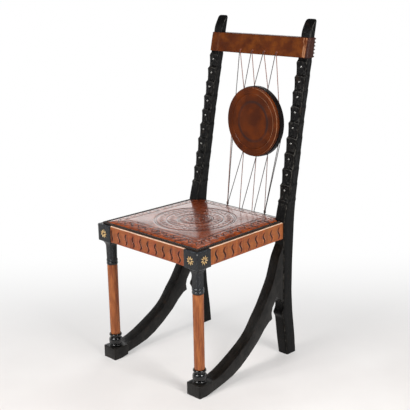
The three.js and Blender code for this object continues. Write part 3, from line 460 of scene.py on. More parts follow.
def brown_leather(name, dark, mid, light, coat, stains_and_shade=False):
    material, spot = new_finish(name)
    hide = use_group(hide_group, {"Place": spot, "Pebbles": 850.0, "Creases": 70.0})
    warm = ramp(noise(spot, 26.0, 3.0), 0.4, 0.75)
    colour = layers(mix(hide["Mottle"], dark, mid), (warm, light))
    if stains_and_shade:
        # Stain in the disc's sunken ring, and painted shade on the crest's sides, back and rims
        patches = ramp(noise(spot, 16.0, 5.0), 0.35, 0.6, 0.45, 0.95)
        stain_and_shade_share = times(ramp(mark(spot, "stain_and_shade"), 0.15, 1.0), patches)
        colour = mix(stain_and_shade_share, colour, "35201C")
    # The pale edge colour is partly wear and partly painted highlight, on crest creases and disc rims
    colour = mix(edge_wear_and_highlight(spot, 90.0, 0.9, 0.45), colour, "C8946E")
    return cover(material, colour, ramp(hide["Height"], 0.2, 0.8, 0.5, 0.36),
                 (0.22, 0.0008, hide["Height"]),
                 {"Specular IOR Level": 0.06, "Coat Weight": coat, "Coat Roughness": 0.12})


crest_hide = brown_leather("crest leather", "461D07", "5C290A", "6A350B", 0.1, stains_and_shade=True)
disc_hide = brown_leather("disc leather", "421B08", "56260A", "602A08", 0.06, stains_and_shade=True)
band_hide = brown_leather("band leather", "120D0A", "1B1410", "241A14", 0.1)

# %% Seat leather
seat_hide, spot = new_finish("tooled seat leather")
hide = use_group(hide_group, {"Place": spot, "Pebbles": 500.0, "Creases": 55.0})
from_edge, from_back = mark(spot, "from_edge"), mark(spot, "from_back")
glow = noise(spot, 60.0, 5.0)
# Painted highlight along the rolled edges, partly wear: an orange band, faint towards the back
rim_highlight_and_wear = times(ramp(from_edge, 30 * MM, 60 * MM, 0.95, 0.1), ramp(glow, 0.4, 0.6))
rim_highlight_and_wear = times(rim_highlight_and_wear, ramp(from_back, 0.0, 60 * MM, 0.3, 1.0))
dark_spots = times(ramp(from_edge, 36 * MM, 56 * MM, 0.8, 0.0), ramp(glow, 0.46, 0.34))
colour = layers(
    mix(hide["Mottle"], "5C2208", "7E360F"),
    (rim_highlight_and_wear, "98420C"), (dark_spots, "3A1206"),
    (ramp(mark(spot, "tooling"), 0.1, 0.7, 0.0, 0.85), "220B04"))
cover(seat_hide, colour, ramp(hide["Height"], 0.2, 0.8, 0.44, 0.26), (0.4, 0.0012, hide["Height"]),
      {"Specular IOR Level": 0.05, "Coat Weight": 0.9, "Coat IOR": 1.65, "Coat Roughness": 0.14})
print("leather made")

# %% [markdown]
# ## Small finishes
#
# Pewter for the studs and corner pins, dull bronze for the seat nails, pale pear wood for the
# stars, and waxed cord. Each still varies over its surface, because a single flat colour reads as
# plastic.

# %% Metals, inlay and cord


def mottled(name, first, second, scale, roughness, metallic=0.0, relief=0.0004):
    material, spot = new_finish(name)
    patches = noise(spot, scale, 5.0)
    colour = mix(ramp(patches, 0.35, 0.65), first, second)
    return cover(material, colour, ramp(patches, 0.3, 0.7, roughness - 0.08, roughness + 0.1),
                 (0.3, relief, patches), {"Metallic": metallic})


pewter = mottled("pewter", "7C7C7A", "ACAAA6", 400.0, 0.34, metallic=0.85)
nail_bronze = mottled("nail bronze", "0C0907", "1E1611", 300.0, 0.42, metallic=0.3)
pear_wood = mottled("pear wood", "C89A58", "EBCF9A", 260.0, 0.45)
star_eye = mottled("star eye", "2A1A10", "40281A", 300.0, 0.5)
waxed_cord = mottled("waxed cord", "6A3424", "985A42", 420.0, 0.6, relief=0.0003)
# A painted-shade copy of the waxed cord, for strands that lean away from the light
shaded_cord = mottled("shaded cord", "20150F", "40291F", 420.0, 0.6, relief=0.0003)
dark_cord = mottled("dark cord", "2A1A12", "4A3024", 420.0, 0.65)
dark_thong = mottled("dark thong", "24120C", "3A2016", 300.0, 0.5)
eyelet_shadow = mottled("eyelet shadow", "100906", "1C110B", 200.0, 0.8)
print("small finishes made")

# %% [markdown]
# ## Ways to shape a piece
#
# Most pieces are either skins over a row of closed rings, turned shapes, or merged copies of the
# CAD solids with their arrises rounded. Each of these has one helper. The rounding is marked in an
# `edge` attribute, which the finishes use for worn edges and for painted highlights on the wood and
# leather.

# %% Objects from points


def shade(mesh, angle):
    mesh.shade_smooth()
    mesh.set_sharp_from_angle(angle=radians(angle))


def wear_look(obj, look):
    obj.data.materials.clear()
    obj.data.materials.append(look)


def cleaned(name, mesh, look, angle):
    work = bmesh.new()
    work.from_mesh(mesh)
    bmesh.ops.remove_doubles(work, verts=work.verts, dist=2e-6)
    bmesh.ops.recalc_face_normals(work, faces=work.faces)
    work.to_mesh(mesh)
    work.free()
    shade(mesh, angle)
    obj = bpy.data.objects.new(name, mesh)
    scene.collection.objects.link(obj)
    wear_look(obj, look)
    return obj


def new_object(name, points, faces, look, marks, angle):
    mesh = bpy.data.meshes.new(name)
    mesh.from_pydata(placed(points).tolist(), [], faces)
    for title, values in marks.items():
        flat = np.asarray(values, np.float32).reshape(-1)
        mesh.attributes.new(title, "FLOAT", "POINT").data.foreach_set("value", flat)
    return cleaned(name, mesh, look, angle)


def skin(name, rings, look, marks, angle):
    """Quads between neighbouring rings, and a face over the first and the last"""
    rings = np.asarray(rings, float)
    levels, around = rings.shape[:2]
    faces = []
    for low in range(0, (levels - 1) * around, around):
        for side in range(around):
            a, b = low + side, low + (side + 1) % around
            faces.append((a, b, b + around, a + around))
    faces += [tuple(range(around)), tuple(range((levels - 1) * around, levels * around))]
    return new_object(name, rings.reshape(-1, 3), faces, look, marks, angle)


def done(obj, slot, *replaced, body="frame"):
    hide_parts(*replaced)
    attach(obj, body)


# %% Rings


def arc(x, y, radius, start, end, steps):
    angles = np.radians(np.linspace(start, end, steps))
    return np.stack([x + radius * np.cos(angles), y + radius * np.sin(angles)], 1)


def rounded_ring(x0, x1, y0, y1, radii, steps, cuts):
    """A rectangle with round corners, run from its front right corner, and where its corners are"""
    corners = [(x1, y0, -90), (x1, y1, 0), (x0, y1, 90), (x0, y0, 180)]
    arcs = [arc(x - r if x == x1 else x + r, y - r if y == y1 else y + r, r, start, start + 90, steps)
            for (x, y, start), r in zip(corners, radii)]
    points, edge = [], []
    for curve, after, count in zip(arcs, arcs[1:] + arcs[:1], cuts):
        share = np.linspace(0, 1, count + 2)[1:-1, None]
        points += [curve, curve[-1] * (1 - share) + after[0] * share]
        edge += [np.sin(np.linspace(0, pi, steps)), np.zeros(count)]
    return np.concatenate(points), np.concatenate(edge)


def lathe(name, outline, x, y, look, edge=0.0, around=64):
    """A turned piece round an upright line, from points of radius and height"""
    radius, height = np.array(outline, float).T[:, :, None]
    angles = np.linspace(0, 2 * pi, around, endpoint=False)
    rings = np.stack([x + radius * np.cos(angles), y + radius * np.sin(angles),
                      np.repeat(height, around, 1)], 2)
    edges = np.repeat(np.zeros((len(radius), 1)) + np.reshape(edge, (-1, 1)), around, 1)
    return skin(name, rings, look, {"edge": edges}, 30)


# %% Softened copies of CAD pieces
SHARP, NEARLY_FLAT = radians(28), radians(1.0)


def softened(title, look, width, segments=3):
    mesh = nodes[title].data.copy()
    mesh.transform(nodes[title].matrix_world)
    work = bmesh.new()
    work.from_mesh(mesh)
    bmesh.ops.remove_doubles(work, verts=work.verts, dist=1e-5)
    bmesh.ops.dissolve_limit(work, angle_limit=NEARLY_FLAT, verts=work.verts, edges=work.edges)
    bmesh.ops.recalc_face_normals(work, faces=work.faces)
    arrises = [e for e in work.edges if e.is_manifold and e.calc_face_angle() > SHARP]
    rounded = set(bmesh.ops.bevel(work, geom=arrises, offset=width * MM, segments=segments, profile=0.5,
                                  affect="EDGES", clamp_overlap=True)["faces"])
    # The edge mark carries wear and painted highlights in the finishes
    edge = work.verts.layers.float.new("edge")
    for vert in {v for face in rounded for v in face.verts}:
        vert[edge] = 1.0 if all(face in rounded for face in vert.link_faces) else 0.0
    bmesh.ops.triangulate(work, faces=[f for f in work.faces if len(f.verts) > 4])
    work.to_mesh(mesh)
    work.free()
    for name in [a.name for a in mesh.attributes if a.name.startswith(("custom_normal", "sharp_edge"))]:
        mesh.attributes.remove(mesh.attributes[name])
    return cleaned("fine_" + title, mesh, look, 32)


# %% [markdown]
# ## Geometry Nodes for what repeats
#
# Studs, seat nails, star petals, lacing loops and the twist of the cord all repeat. Each is a
# small tree with named inputs. A tree places a form on the points of a mesh, turned to the
# directions that the points carry, and the result is kept as a plain mesh.

# %% Tree helpers


def geometry_tree(name, inputs):
    inputs = [("Geometry", "Geometry", None)] + inputs + [("Look", "Material", None)]
    return new_tree(name, "GeometryNodeTree", inputs, [("Geometry", "Geometry")])


def geo(tree, kind, inputs=None, **settings):
    return node(tree, "GeometryNode" + kind, inputs, **settings).outputs[0]


def xyz(*values):
    return node(tree_of(values), "ShaderNodeCombineXYZ", dict(enumerate(values))).outputs[0]


def painted(tree, given, out, shape):
    real = geo(tree, "RealizeInstances", {0: shape})
    feed(tree, out, {0: geo(tree, "SetMaterial", {"Geometry": real, "Material": given["Look"]})})


def spread_form(tree, given, out, form):
    """Put a form on every point, turned to where the point faces"""
    facing = geo(tree, "InputNamedAttribute", {"Name": "facing"}, data_type="FLOAT_VECTOR")
    turned = node(tree, "FunctionNodeAlignRotationToVector", {"Vector": facing}, axis="Z").outputs[0]
    spread = {"Points": given["Geometry"], "Instance": form, "Rotation": turned}
    painted(tree, given, out, geo(tree, "InstanceOnPoints", spread))


def grown(name, tree, points, values, facings=None, edges=(), angle=38):
    """The plain mesh that a tree makes of points, with its lengths given in millimetres"""
    mesh = bpy.data.meshes.new(name)
    mesh.from_pydata(placed(points).tolist(), list(edges), [])
    if facings is not None:
        flat = np.asarray(facings, np.float32).reshape(-1)
        mesh.attributes.new("facing", "FLOAT_VECTOR", "POINT").data.foreach_set("vector", flat)
    seed = bpy.data.objects.new(name, mesh)
    scene.collection.objects.link(seed)
    modifier = seed.modifiers.new("grow", "NODES")
    modifier.node_group = tree
    sockets = {item.name: item.identifier for item in tree.interface.items_tree if item.in_out == "INPUT"}
    for title, value in values.items():
        modifier[sockets[title]] = value * MM if isinstance(value, float) else value
    seed.update_tag()
    ready = seed.evaluated_get(bpy.context.evaluated_depsgraph_get())
    made = bpy.data.meshes.new_from_object(ready)
    bpy.data.objects.remove(seed)
    shade(made, angle)
    obj = bpy.data.objects.new(name, made)
    scene.collection.objects.link(obj)
    return obj

# %% Domes and loops on points
dome_tree, given, out = geometry_tree("domes", [("Radius", "Float", 0.003), ("Rise", "Float", 0.002)])
tree = dome_tree
ball = geo(tree, "MeshUVSphere", {"Segments": 20, "Rings": 12, "Radius": given["Radius"]})
squash = xyz(1.0, 1.0, maths("DIVIDE", given["Rise"], given["Radius"]))
spread_form(tree, given, out, geo(tree, "Transform", {"Geometry": ball, "Scale": squash}))

loop_tree, given, out = geometry_tree("loops", [("Radius", "Float", 0.003), ("Thickness", "Float", 0.0008)])
tree = loop_tree
circle = geo(tree, "CurvePrimitiveCircle", {"Resolution": 24, "Radius": given["Radius"]})
section = geo(tree, "CurvePrimitiveCircle", {"Resolution": 10, "Radius": given["Thickness"]})
spread_form(tree, given, out, geo(tree, "CurveToMesh", {"Curve": circle, "Profile Curve": section}))


def domes(name, points, facings, radius, rise, look, angle=38):
    values = {"Radius": radius, "Rise": rise, "Look": look}
    return grown(name, dome_tree, points, values, facings, angle=angle)


def loops(name, points, facings, radius, thickness, look, angle=60):
    values = {"Radius": radius, "Thickness": thickness, "Look": look}
    return grown(name, loop_tree, points, values, facings, angle=angle)

# %% Twisted cord along a line
cord_tree, given, out = geometry_tree("twisted cord", [
    ("Strand", "Float", 0.0006), ("Apart", "Float", 0.0005), ("Pitch", "Float", 0.006),
    ("Step", "Float", 0.0009)])
tree = cord_tree
line = geo(tree, "MeshToCurve", {"Mesh": given["Geometry"]})
line = geo(tree, "ResampleCurve", {"Curve": line, "Length": given["Step"]}, mode="LENGTH")
run = node(tree, "GeometryNodeSplineParameter").outputs["Length"]
twist = times(maths("DIVIDE", run, given["Pitch"]), 2 * pi)
tilted = geo(tree, "SetCurveTilt", {"Curve": line, "Tilt": twist})
ply = geo(tree, "CurvePrimitiveCircle", {"Resolution": 8, "Radius": given["Strand"]})
both = node(tree, "GeometryNodeJoinGeometry")
for side in (-1, 1):
    shift = xyz(times(given["Apart"], side))
    feed(tree, both, {0: geo(tree, "Transform", {"Geometry": ply, "Translation": shift})})
rope = {"Curve": tilted, "Profile Curve": both.outputs[0], "Fill Caps": True}
painted(tree, given, out, geo(tree, "CurveToMesh", rope))
print("geometry trees made")

# %% [markdown]
# ## Rear posts
#
# Each post is one board, sawn to a rake and carved down its front in nine scales. A scale stands
# proud at its upper ledge and runs back into the wood below. The ledges were cut as low arches,
# so the rings of this skin dip towards the sides. The outer front arris was planed off.

# %% Post outlines
SEAT_HEIGHT, CHAIR_HEIGHT = 460.0, 1083.0
REAR_HALF, SIDE_DEPTH, POST_WIDTH, POST_DEPTH, POST_LEAN = 216.5, 396.0, 39.0, 50.0, 7.5
LEG_REAR_SWEEP, LEG_FRONT_SWEEP, STILE_SWEEP = 14, 22, 109
LOWEST_LEDGE, TOP_LEDGE, FINIAL_FOOT = 527.0, 955.0, 1030.0
LEDGE_DEPTH, LEDGE_SIDE, LEDGE_RISER, LEDGE_ARCH = 6.0, 1.4, 9.0, 5.0
SCALES, SCALE_BEND = 9, 1.03
FINIAL_TOP_DEPTH, FINIAL_BEND = 4.2, 1.7
leg_rear_shares = [[0, 1], [0.13, 0.64], [0.33, -0.25], [0.48, -0.6], [0.7, -0.5], [0.91, -0.14],
                   [1, 0]]
leg_front_shares = [[0, 1], [0.12, 0.55], [0.295, 0.05], [0.33, -0.41], [0.358, 0],
                    [0.385, 0.12], [0.413, 0], [1, 0]]
stile_rear_shares = [[0, 0], [0.064, 0.04], [0.176, 0.13], [0.288, 0.25], [0.504, 0.454],
                     [0.656, 0.63], [0.792, 0.785], [0.912, 0.908], [0.984, 1], [1, 1.02]]


def from_table(table, share):
    return float(np.interp(share, *zip(*table)))


def up_the_stile(h):
    return (h - SEAT_HEIGHT) / (CHAIR_HEIGHT - SEAT_HEIGHT)


def post_rear(h):
    if h <= SEAT_HEIGHT:
        return SIDE_DEPTH + POST_DEPTH + LEG_REAR_SWEEP * from_table(leg_rear_shares, h / SEAT_HEIGHT)
    return SIDE_DEPTH + POST_DEPTH + STILE_SWEEP * from_table(stile_rear_shares, up_the_stile(h))


def post_outer(h):
    return REAR_HALF - POST_LEAN * max(0.0, up_the_stile(h))


def scale_ledge(n):
    return TOP_LEDGE - (TOP_LEDGE - LOWEST_LEDGE) * (n / SCALES) ** SCALE_BEND


def ground_front(h):
    low, top = post_rear(LOWEST_LEDGE) - 37, post_rear(TOP_LEDGE) - 23
    return low + (top - low) * (h - LOWEST_LEDGE) / (TOP_LEDGE - LOWEST_LEDGE)


def finial_front(share):
    foot = ground_front(FINIAL_FOOT)
    return foot + (post_rear(CHAIR_HEIGHT) - FINIAL_TOP_DEPTH - foot) * share ** FINIAL_BEND


def leg_front(h):
    return SIDE_DEPTH + LEG_FRONT_SWEEP * from_table(leg_front_shares, max(h, 0) / SEAT_HEIGHT)


def smooth_table(function, h, reach):
    return float(np.mean([function(h + reach * t) for t in (-1, -0.6, -0.25, 0, 0.25, 0.6, 1)]))


# %% Post rows
# A row is a height, its front, its side swell, how far it is arched and how far it is an edge
SCALE_BELLY, PLAIN_END, FINIAL_ROUND = 1.1, 6.0, 1074.0


def scale_rows(n):
    low, high = scale_ledge(n), scale_ledge(n - 1)
    foot = low + LEDGE_RISER
    proud, lip = ground_front(low) - LEDGE_DEPTH, ground_front(high) - LEDGE_DEPTH
    lower_side = LEDGE_SIDE * 0.9
    rows = [(low - 1.6, proud + 0.1, LEDGE_SIDE, 1, 0.9), (low, proud + 0.5, lower_side, 1, 1.0)]
    for t in (0.12, 0.3, 0.55, 0.8, 1.0):
        back = 0.5 - 0.5 * cos(pi * t ** 0.8)
        front = proud + 0.5 + (ground_front(foot) - proud - 0.5) * back
        rows.append((low + LEDGE_RISER * t, front, lower_side * (1 - back), 1, 0.7 * (0.3 > t)))
    for t in np.linspace(0.05, 0.965, 16):
        belly = SCALE_BELLY * sin(pi * t ** 1.3)
        front = ground_front(foot) + (lip - ground_front(foot)) * t + belly
        rows.append((foot + (high - foot) * t, front, LEDGE_SIDE * t, 1, 3 * max(0, t - 0.8)))
    return rows


def post_rows():
    rows = [(h, smooth_table(leg_front, h, 4), 0, 0, 0) for h in np.arange(0, SEAT_HEIGHT + 1, 5.0)]
    plain_top = ground_front(LOWEST_LEDGE) - LEDGE_DEPTH
    for h in np.linspace(SEAT_HEIGHT + PLAIN_END, LOWEST_LEDGE - PLAIN_END, 10):
        share = (h - SEAT_HEIGHT) / (LOWEST_LEDGE - PLAIN_END - SEAT_HEIGHT)
        rows.append((h, SIDE_DEPTH + (plain_top - SIDE_DEPTH) * share, 0, max(0, share * 2 - 1), 0))
    for n in range(SCALES, 0, -1):
        rows += scale_rows(n)
    top = ground_front(TOP_LEDGE) - LEDGE_DEPTH
    rows += [(TOP_LEDGE - 0.4, top + 0.3, LEDGE_SIDE, 0.9, 1),
             (TOP_LEDGE + 2.5, top + 3, LEDGE_SIDE * 0.6, 0.6, 0.3),
             (TOP_LEDGE + 6, ground_front(TOP_LEDGE + 6), 0, 0.2, 0),
             (TOP_LEDGE + 35, ground_front(TOP_LEDGE + 35), 0, 0, 0)]
    reach = CHAIR_HEIGHT - FINIAL_FOOT
    rows += [(h, finial_front((h - FINIAL_FOOT) / reach), 0, 0, 0)
             for h in np.arange(FINIAL_FOOT, FINIAL_ROUND + 1, 3.0)]
    return rows


def post_ring(side, row, narrow=0.0):
    h, front, swell, arched, edge = row
    x0, x1 = post_outer(h) - POST_WIDTH - swell + narrow, post_outer(h) + swell - narrow
    y1 = smooth_table(post_rear, h, 12) if 12 < h < CHAIR_HEIGHT - 13 else post_rear(h)
    depth = y1 - front
    radii = [min(r, depth * 0.4) for r in (6.2, 2.4, 2.4, 3.4)]
    points, corner = rounded_ring(x0, x1, front, y1, radii, 6, (3, 2, 3, 12))
    across = (points[:, 0] - x0) / (x1 - x0) * 2 - 1
    back = (points[:, 1] - front) / depth
    dip = LEDGE_ARCH * arched * across ** 2 * (1 - back)
    ring = np.stack([side * points[:, 0], points[:, 1], h - dip], 1)
    # The edge mark gives worn grey and painted highlights along the arrises and ledges
    edges = np.maximum(corner * 0.95, edge * np.clip(1 - back * 3, 0, 1))
    return ring, edges, arched * np.clip(1 - back * 1.5, 0, 1)


# %% Posts
SIDES = (("left", -1), ("right", 1))
ROUND_RISE, ROUND_IN, ROUND_START = 8.4, 8.6, 0.83


def carve_post(side, title):
    rings = [post_ring(side, row) for row in post_rows()]
    for t in np.linspace(0.15, 1, 7):
        h = FINIAL_ROUND + ROUND_RISE * sin(t * pi / 2)
        narrow = ROUND_IN * (1 - cos(t * pi / 2))
        front = finial_front(1) - (finial_front(1) - finial_front(ROUND_START)) * (1 - t)
        rings.append(post_ring(side, (h, front, 0, 0, 0), narrow))
    rings, edges, carved = zip(*rings)
    post = skin("fine_rear_post_" + title, rings, carved_black, {"edge": edges, "carved": carved}, 50)
    done(post, "black_wood", "rear_post_" + title)
    print(post.name, len(post.data.polygons), "faces")


for title, side in SIDES:
    carve_post(side, title)

# %% Studs
STUD_RADIUS, STUD_RISE, STUD_PLACE, STUD_SUNK = 3.4, 2.6, 0.47, 0.8


def stud_places(side):
    for number in range(SCALES):
        ledge, foot = scale_ledge(number), scale_ledge(number + 1) + LEDGE_RISER
        high, low = ground_front(ledge) - LEDGE_DEPTH, ground_front(foot)
        slope = (high - low) / (ledge - foot)
        h = ledge - STUD_PLACE * (ledge - foot)
        spot = (side * (post_outer(h) - POST_WIDTH / 2), high - slope * (ledge - h) + STUD_SUNK, h)
        yield number + 1, spot, np.array([0, -1, slope]) / hypot(1, slope)


for title, side in SIDES:
    for number, spot, face in stud_places(side):
        stud = domes(f"fine_stud_{title}_{number}", [spot], [face], STUD_RADIUS, STUD_RISE, pewter)
        done(stud, "pewter", f"stud_{title}_{number}")
print("studs made")

# %% [markdown]
# ## Front corners, columns and feet
#
# Each front corner is a square block hollowed out to a chamfered leg, two turned collars, a tan
# column, a black ring and neck, a polished bulb and a foot. The block and the brace keep the CAD
# shape with softened arrises. The turned pieces are drawn again with true roundings.

# %% Blocks and braces
for title, side in SIDES:
    for piece, look, rounding in (("corner_block_", block_black, 1.3), ("brace_", plain_black, 1.8)):
        done(softened(piece + title, look, rounding), "black_wood", piece + title)
print("blocks and braces softened")

# %% Columns and bulbs
COLUMN_X, COLUMN_Y, COLUMN_FOOT, COLUMN_TOP = 197.0, 29.0, 82.2, 322.2
COLUMN_RADIUS, COLUMN_FLARE, COLUMN_WAIST = 16.3, 0.6, 0.12
BULB_RADIUS, BULB_MIDDLE, BULB_HALF, BULB_BEND = 22.4, 58, 12, 2.6


def bead(radius, low, high, sag, steps=9):
    """A rounded step of a turning, from its lower to its upper edge"""
    t = np.linspace(0, 1, steps)
    return [(radius - sag * abs(2 * v - 1) ** 3, low + (high - low) * v) for v in t]


shaft = [(COLUMN_RADIUS + COLUMN_FLARE * v - COLUMN_WAIST * sin(pi * v),
          COLUMN_FOOT + (COLUMN_TOP - COLUMN_FOOT) * v) for v in np.linspace(0, 1, 40)[1:-1]]
shaft = ([(14.0, COLUMN_FOOT), (16.0, COLUMN_FOOT + 0.1)] + shaft
         + [(16.6, COLUMN_TOP - 0.1), (14.0, COLUMN_TOP)])
bulge = [(BULB_RADIUS - (2.4 if v < 0 else 5.4) * abs(v) ** BULB_BEND, BULB_MIDDLE + BULB_HALF * v)
         for v in np.linspace(-0.92, 0.92, 26)]
turning = ([(12, 39.2), (19.4, 39.2)] + bead(21.0, 39.4, 46.2, 1.6) + bulge
           + bead(16.7, 70, 73.6, 0.5, 5) + bead(20.8, 74, 81.8, 2.4) + [(12, 81.9)])
collar_edge = [1.0 if 20.4 < r < 21.1 and z > 74 else 0.0 for r, z in turning]
for title, side in SIDES:
    column = lathe("fine_column_" + title, shaft, side * COLUMN_X, COLUMN_Y, tan_column)
    done(column, "tan_wood", "column_" + title)
    bulb = lathe("fine_bulb_" + title, turning, side * COLUMN_X, COLUMN_Y, polished_black, collar_edge)
    done(bulb, "black_wood", "bulb_" + title)
print("columns and bulbs made")

# %% Star petals
petal_tree, given, out = geometry_tree("star petals", [
    ("Count", "Int", 9), ("Reach", "Float", 0.015), ("Width", "Float", 0.004)])
tree = petal_tree
turn = times(maths("DIVIDE", geo(tree, "InputIndex"), given["Count"]), 2 * pi)
length = times(given["Reach"], 0.76)
offset = maths("ADD", times(length, 0.5), times(given["Reach"], 0.18))
petal = geo(tree, "MeshCylinder", {"Vertices": 4, "Side Segments": 1, "Radius": 0.5, "Depth": 1.0})
petal = geo(tree, "Transform", {"Geometry": petal, "Scale": xyz(length, given["Width"], 0.0012)})
petal = geo(tree, "Transform", {"Geometry": petal, "Translation": xyz(offset)})
middles = geo(tree, "Points", {"Count": given["Count"]})
turned = xyz(0.0, 0.0, turn)
flower = geo(tree, "InstanceOnPoints", {"Points": middles, "Instance": petal, "Rotation": turned})
spread_form(tree, given, out, geo(tree, "RealizeInstances", {0: flower}))

# %% Stars and pins on the blocks
STAR_HEIGHT, STAR_POINTS, STAR_REACH, PETAL_WIDTH, EYE_RADIUS, EYE_RISE = 431.5, 9, 15.6, 3.7, 3.3, 0.7
BLOCK_SIDE, BLOCK_FRONT = 226.1, -0.1
PIN_RADIUS, PIN_RISE, PIN_X, PIN_Y, PIN_Z = 2.1, 1.6, 225.2, 0.8, 455.0
star = {"Count": STAR_POINTS, "Reach": STAR_REACH, "Width": PETAL_WIDTH, "Look": pear_wood}
for title, side in SIDES:
    for face, spot, facing in (("front", (side * COLUMN_X, BLOCK_FRONT, STAR_HEIGHT), (0, -1, 0)),
                               ("outer", (side * BLOCK_SIDE, COLUMN_Y, STAR_HEIGHT), (side, 0, 0))):
        petals = grown(f"fine_star_{face}_{title}", petal_tree, [spot], star, [facing], angle=20)
        eye = domes(f"fine_eye_{face}_{title}", [spot], [facing], EYE_RADIUS, EYE_RISE, star_eye)
        for piece in (petals, eye):
            done(piece, "pale_inlay", f"star_{face}_{title}")
    spot, facing = (side * PIN_X, PIN_Y, PIN_Z), (side, -1, 0)
    pin = domes("fine_pin_" + title, [spot], [facing], PIN_RADIUS, PIN_RISE, pewter)
    done(pin, "pewter", "corner_pin_" + title)
print("stars and pins made")

# %% [markdown]
# ## Rails of the seat frame
#
# Wavy grooves were cut across the rails with a gouge, ten in front and nine at each side. They are
# deepest in the middle of the stroke. The skin's columns follow the wave, so that a groove has a
# clean section all along. The cells between two grooves differ a little in colour, which is stored
# with them.

# %% Rail columns and section
RAIL_THICKNESS, RAIL_FRONT, SIDE_FACE = 22.0, 4.0, 222.0
GROOVE_HEIGHT, GROOVE_FOOT, GROOVE_SWAY, GROOVE_HALF, GROOVE_DEPTH = 39.0, 410.4, 3.6, 3.8, 3.2
BURR_AT, BURR_WIDTH, BURR_RISE, SWAY_FADE, END_ROUND = 4.4, 0.5, 0.35, 14, 1.2
BLOCK_SIZE = 58.0
PLAN_TAPER = 9.5 / (SIDE_DEPTH - BLOCK_SIZE)


def rail_face(depth):
    """The outer face of a side rail, which closes in towards the back"""
    return SIDE_FACE - PLAN_TAPER * (depth - BLOCK_SIZE)


def rail_columns(start, end, middles):
    """Places along a rail, close together across each groove and at the rail's ends"""
    half = np.array([0.8, 1.6, 2.4, 3.1, 3.7, 4.2, 4.6, 5.2])
    near = np.concatenate([-half[::-1], [0], half])
    spots = {start, end, start + 0.5, start + 1.2, end - 0.5, end - 1.2}
    for middle in middles:
        spots.update(np.round(middle + near, 3))
    pitch = middles[1] - middles[0]
    for left in [middles[0] - pitch] + list(middles):
        spots.update(v for v in np.round(np.linspace(left + 5.5, left + pitch - 5.5, 8), 3)
                     if start + 2 < v < end - 2 and min(abs(v - m) for m in middles) > 5)
    return np.array(sorted(spots))


def rail_section():
    face = [408.2, 409.0, 410.0, *np.linspace(410.6, 449.3, 40), 450.4, 452, 453.6, 455.2, 456.8]
    section = [(RAIL_THICKNESS, 406.5), (12, 406.5), (1.6, 406.5), (0.5, 406.9), (0.08, 407.5)]
    section += [(0, z) for z in face]
    section += [(3 - 3 * cos(t), 457 + 3 * sin(t)) for t in np.linspace(0.12, pi / 2, 8)]
    return np.array(section + [(8, 460), (RAIL_THICKNESS, 460), (RAIL_THICKNESS, 440)]).T


# %% Rail skins


def rail_skin(title, look, start, end, middles, sway_sign, to_place):
    inward, up = rail_section()
    height = (up - GROOVE_FOOT) / GROOVE_HEIGHT
    on_face = (inward < 3) & (up > 407)
    sway = sway_sign * GROOVE_SWAY * np.sin(2.4 * pi * np.clip(height, 0, 1) - 0.6) * on_face
    gouge = np.sin(pi * np.clip(height, 0, 1)) ** 0.35 * on_face * (height > 0) * (height < 1)
    shades = np.random.default_rng(7).uniform(0, 1, len(middles) + 1)
    # A painted highlight along the top arris, and painted shade on the rail top under the band
    top_arris_highlight = np.clip((up - 458.2) / 1.4, 0, 1) * (inward < 4.2)
    shade_under_band = 0.9 * (up > 459.9) * (inward > 5.2)
    rings, edges, grooves, cells = [], [], [], []
    for along in rail_columns(start, end, middles):
        near, to_end = np.min(np.abs(middles - along)), min(along - start, end - along)
        cut = max(0.0, 1 - (near / GROOVE_HALF) ** 2) ** 0.8
        burr = exp(-((near - BURR_AT) / BURR_WIDTH) ** 2)
        depth = inward + gouge * (GROOVE_DEPTH * cut - BURR_RISE * burr * 0.6)
        depth = depth + max(0.0, END_ROUND - to_end) ** 2 * 0.35 * on_face
        rings.append(to_place(along + sway * np.clip(to_end / SWAY_FADE, 0, 1), depth, up))
        # The edge mark paints highlights on the top arris and burrs, the groove mark paints shade by depth
        edges.append(np.maximum(top_arris_highlight, 0.5 * burr * gouge))
        grooves.append(np.maximum(gouge * cut, shade_under_band))
        cell = np.searchsorted(middles, along)
        since = (along - middles[cell - 1]) / (middles[1] - middles[0]) if cell else 0.5
        glow = 0.55 * shades[cell] + 0.45 * np.sin(pi * since) ** 2 + 0.2 * height
        cells.append(np.clip(glow, 0, 1))
    rail = skin("fine_" + title, rings, look, {"edge": edges, "groove": grooves, "cell": cells}, 50)
    done(rail, "tan_wood", title)
    print(rail.name, len(rail.data.polygons), "faces")


rail_skin("front_rail", tan_front, -167.7, 167.7, np.linspace(-162.5, 146.7, 10), 1,
          lambda u, depth, z: np.stack([u, RAIL_FRONT + depth, z], 1))
for title, side in SIDES:
    rail_skin("side_rail_" + title, tan_side, 58.3, 395.7, np.linspace(84, 374, 9), side,
              lambda u, depth, z, side=side: np.stack([side * (rail_face(u) - depth), u, z], 1))

# %% [markdown]
# ## Seat
#
# The seat is a board with a thin stuffed pad, covered in one tooled hide. It rises quickly at its
# edge and then swells gently to the middle. A nailed black band holds the hide down all round, a
# little inside the edge of the rails. The tooling is pressed into the mesh and kept as a mark, so
# that the finish can darken it. Only the pebbles of the hide are left to the finish.

# %% Tooling
VINE_AT, VINE_SWAY, VINE_PITCH, TOOL_DEPTH = 24.0, 6.0, 32.0, 0.9
BORDER, SEAT_MIDDLE = 48.0, 215.0


def tooled_line(distance, at, width):
    return np.exp(-((distance - at) / width) ** 2)


def centre_tooling(x, y):
    """Rings and rows of scallops round the middle of the seat"""
    radius, angle = np.hypot(x, y - SEAT_MIDDLE), np.arctan2(y - SEAT_MIDDLE, x)
    rings = [tooled_line(radius, at, 1.9) for at in (8, 29, 51, 57, 91, 124, 130)]
    rows = ((8, 14, 11), (16, 12, 35), (24, 15, 66), (32, 12, 101))
    scallops = [tooled_line(radius - depth * np.abs(np.sin(angle * count / 2)), at, 1.8)
                for count, depth, at in rows]
    return np.max(rings + scallops, axis=0)


